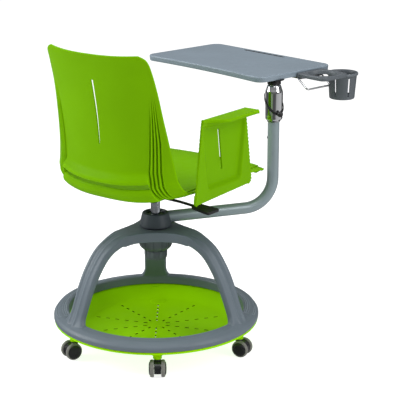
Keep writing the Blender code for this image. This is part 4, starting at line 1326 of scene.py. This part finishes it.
def make_under_seat():
    outline = round_outline(0.099, 0.109, 0.012, middle=(0.0, 0.01))
    plate = slab("mechanism_plate", outline, 0.4822, 0.4862, 0.0012)
    outline = round_outline(0.06, 0.075, 0.012, middle=(0.0, 0.005))
    parts = [plate, slab("mechanism_housing", outline, 0.45, 0.483, 0.006)]
    for x in (-0.078, 0.078):
        outline = round_outline(0.017, 0.003, 0.0028, middle=(x, 0.005))
        parts.append(slab("rib", outline, 0.47, 0.483, 0.001, 2))
    body = joined("mechanism_body", parts)
    cut(body, bore(0.0143, 0.43, 0.4745))
    fit(moved(body, AT_COLUMN), "seat", "black_metal", BLACK_PAINT, "seat_mechanism")

    for k, (x, y) in enumerate(((-0.085, -0.08), (0.085, -0.08), (-0.085, 0.1), (0.085, 0.1))):
        bolt = lathe(f"seat_bolt_{k}", ((0.0, 0.479), (0.004, 0.479), (0.006, 0.4798), (0.0064, 0.4812),
                                        (0.0064, 0.4822), (0.0, 0.4822)), 24)
        fit(moved(bolt, AT_COLUMN @ placed((x, y, 0.0))), "seat", "bright_steel", STEEL)

    foot, thick = 0.478, 0.004
    path = soften(((-0.0606, foot), (-0.185, foot), (-0.2455, 0.506), (-0.2455, 0.56),
                   (-0.2415, 0.56), (-0.2415, 0.5085), (-0.1837, foot + thick),
                   (-0.0606, foot + thick)), 0.0015, True, 4)
    bar = slab("bracket_bar", anticlockwise(path), -0.018, 0.018, 0.0008, 2)
    lie = placed((0.0, -0.03, 0.0)) @ turned(90, "X")
    fit(moved(bar, AT_COLUMN @ lie), "seat", "black_metal", BLACK_PAINT, "armrest_bracket")


def make_lift_lever():
    lever = AT_COLUMN @ placed((-0.055, 0.042, 0.461))
    path = bent(((-0.0065, 0.0, 0.0), (-0.07, 0.002, 0.0), (-0.1275, 0.012, 0.0)), 0.02)
    stem = tube("lever_rod", path, 0.004, 24)
    fit(moved(stem, lever), "lift_lever", "black_metal", BLACK_PAINT, "lift_lever_stem")
    outline = soften(((-0.1295, -0.006), (-0.1295, 0.026), (-0.138, 0.034), (-0.204, 0.052),
                      (-0.209, 0.048), (-0.21, 0.006), (-0.206, -0.001), (-0.136, -0.01)), 0.0045)
    paddle = slab("lever_paddle", anticlockwise(outline), -0.004, 0.004, 0.0024)
    fit(moved(paddle, lever), "lift_lever", "black_plastic", BLACK, "lift_lever_paddle")


# Casters

WHEEL_RADIUS = 0.025
CASTER_TRAIL = 0.01


def wheel_shape():
    """Black domed wheel with a tread band, its axle along Z and its outer face up."""
    hub = lathe("hub", (
        (0.0, 0.025), (0.003, 0.0252), (0.012, 0.0248), (0.0165, 0.0238), (0.0186, 0.0226),
        (0.0193, 0.0214), (0.0205, 0.021), (0.0205, 0.0115), (0.015, 0.0108), (0.0034, 0.0102),
        (0.0034, 0.019), (0.0, 0.019),
    ), 64)
    tread = lathe("tread", (
        (0.0206, 0.0212), (0.0216, 0.0216), (0.0232, 0.0208), (0.0243, 0.0194), (0.0249, 0.0176),
        (WHEEL_RADIUS, 0.0158), (WHEEL_RADIUS, 0.0136), (0.0248, 0.0122), (0.024, 0.011),
        (0.0226, 0.0103), (0.0206, 0.0104),
    ), 64, closed=True)
    for face in tread.data.polygons:
        face.material_index = 1
    wheel = paint(joined("caster_wheel", [hub, tread]), CASTER_BLACK, TREAD)
    mesh = wheel.data
    bpy.data.objects.remove(wheel)
    return mesh


def housing_shape():
    """Block between the wheels, with a hood and the boss that takes the stem."""
    centre = (CASTER_TRAIL, WHEEL_RADIUS)
    outline = arc(centre, 0.0212, -32, 212, 28)
    body = slab("block", soften(outline, 0.002, True, 2), -0.0097, 0.0097, 0.0014, 3)
    moved(body, turned(90, "X"))
    boss = lathe("boss", (
        (0.0, 0.034), (0.0108, 0.034), (0.0106, 0.044), (0.0098, 0.0496), (0.0086, 0.0508), (0.0, 0.0508),
    ), 40)
    body = fused("housing", [body, boss], 0.0007, 3)
    cut(body, bore(0.0058, 0.03, 0.06, 24))
    axle = placed((CASTER_TRAIL, 0.0, WHEEL_RADIUS)) @ turned(90, "X")
    cut(body, moved(bore(0.0033, -0.02, 0.02, 24), axle))
    mesh = body.data
    bpy.data.objects.remove(body)
    return mesh


def make_casters():
    wheel = wheel_shape()
    housing = housing_shape()
    for index, degrees in enumerate(CASTER_DEGREES):
        number = index + 1
        turn = turned(degrees)
        swivel = AT_COLUMN @ placed(polar(SWIVEL_RADIUS, degrees)) @ turn
        axle_place = swivel @ placed((CASTER_TRAIL, 0.0, WHEEL_RADIUS))
        name = f"caster_{number}"

        block = in_scene(f"housing_{number}", housing.copy())
        fit(moved(block, swivel), name, "caster_black", CASTER_BLACK, f"{name}_housing")

        axle = lathe(f"axle_{number}", ((0.0, 0.018), (0.0024, 0.018), (0.003, 0.0174), (0.003, -0.0174),
                                        (0.0024, -0.018), (0.0, -0.018)), 24)
        lie = turned(90, "X")
        fit(moved(axle, axle_place @ lie), name, "bright_steel", STEEL, f"{name}_axle")

        stem = lathe(f"stem_{number}", ((0.0, 0.07), (0.0045, 0.07), (0.0055, 0.0688), (0.0055, 0.031),
                                        (0.005, 0.0305), (0.0, 0.0305)), 32)
        fit(moved(stem, swivel), "base", "bright_steel", STEEL, f"{name}_stem")

        for side, sign in (("left", -1), ("right", 1)):
            face = turned(90 * sign, "X")
            piece = in_scene(f"wheel_{number}_{side}", wheel.copy())
            fit(moved(piece, axle_place @ face), f"wheel_{number}_{side}", "caster_tread", None,
                f"{name}_wheel_{side}")


def main():
    add_camera()
    add_studio()
    add_floor()
    make_base()
    make_tread_pad("tread_pad_front", 322.5, 416.0)
    make_tread_pad("tread_pad_right", 202.5, 296.0)
    make_tray()
    make_nut()
    make_column()
    make_desk_arm()
    make_release_loop()
    make_mast()
    make_tablet()
    make_cup_plate()
    make_bail()
    make_cup()
    make_shell()
    make_armrest()
    make_under_seat()
    make_lift_lever()
    make_casters()


main()
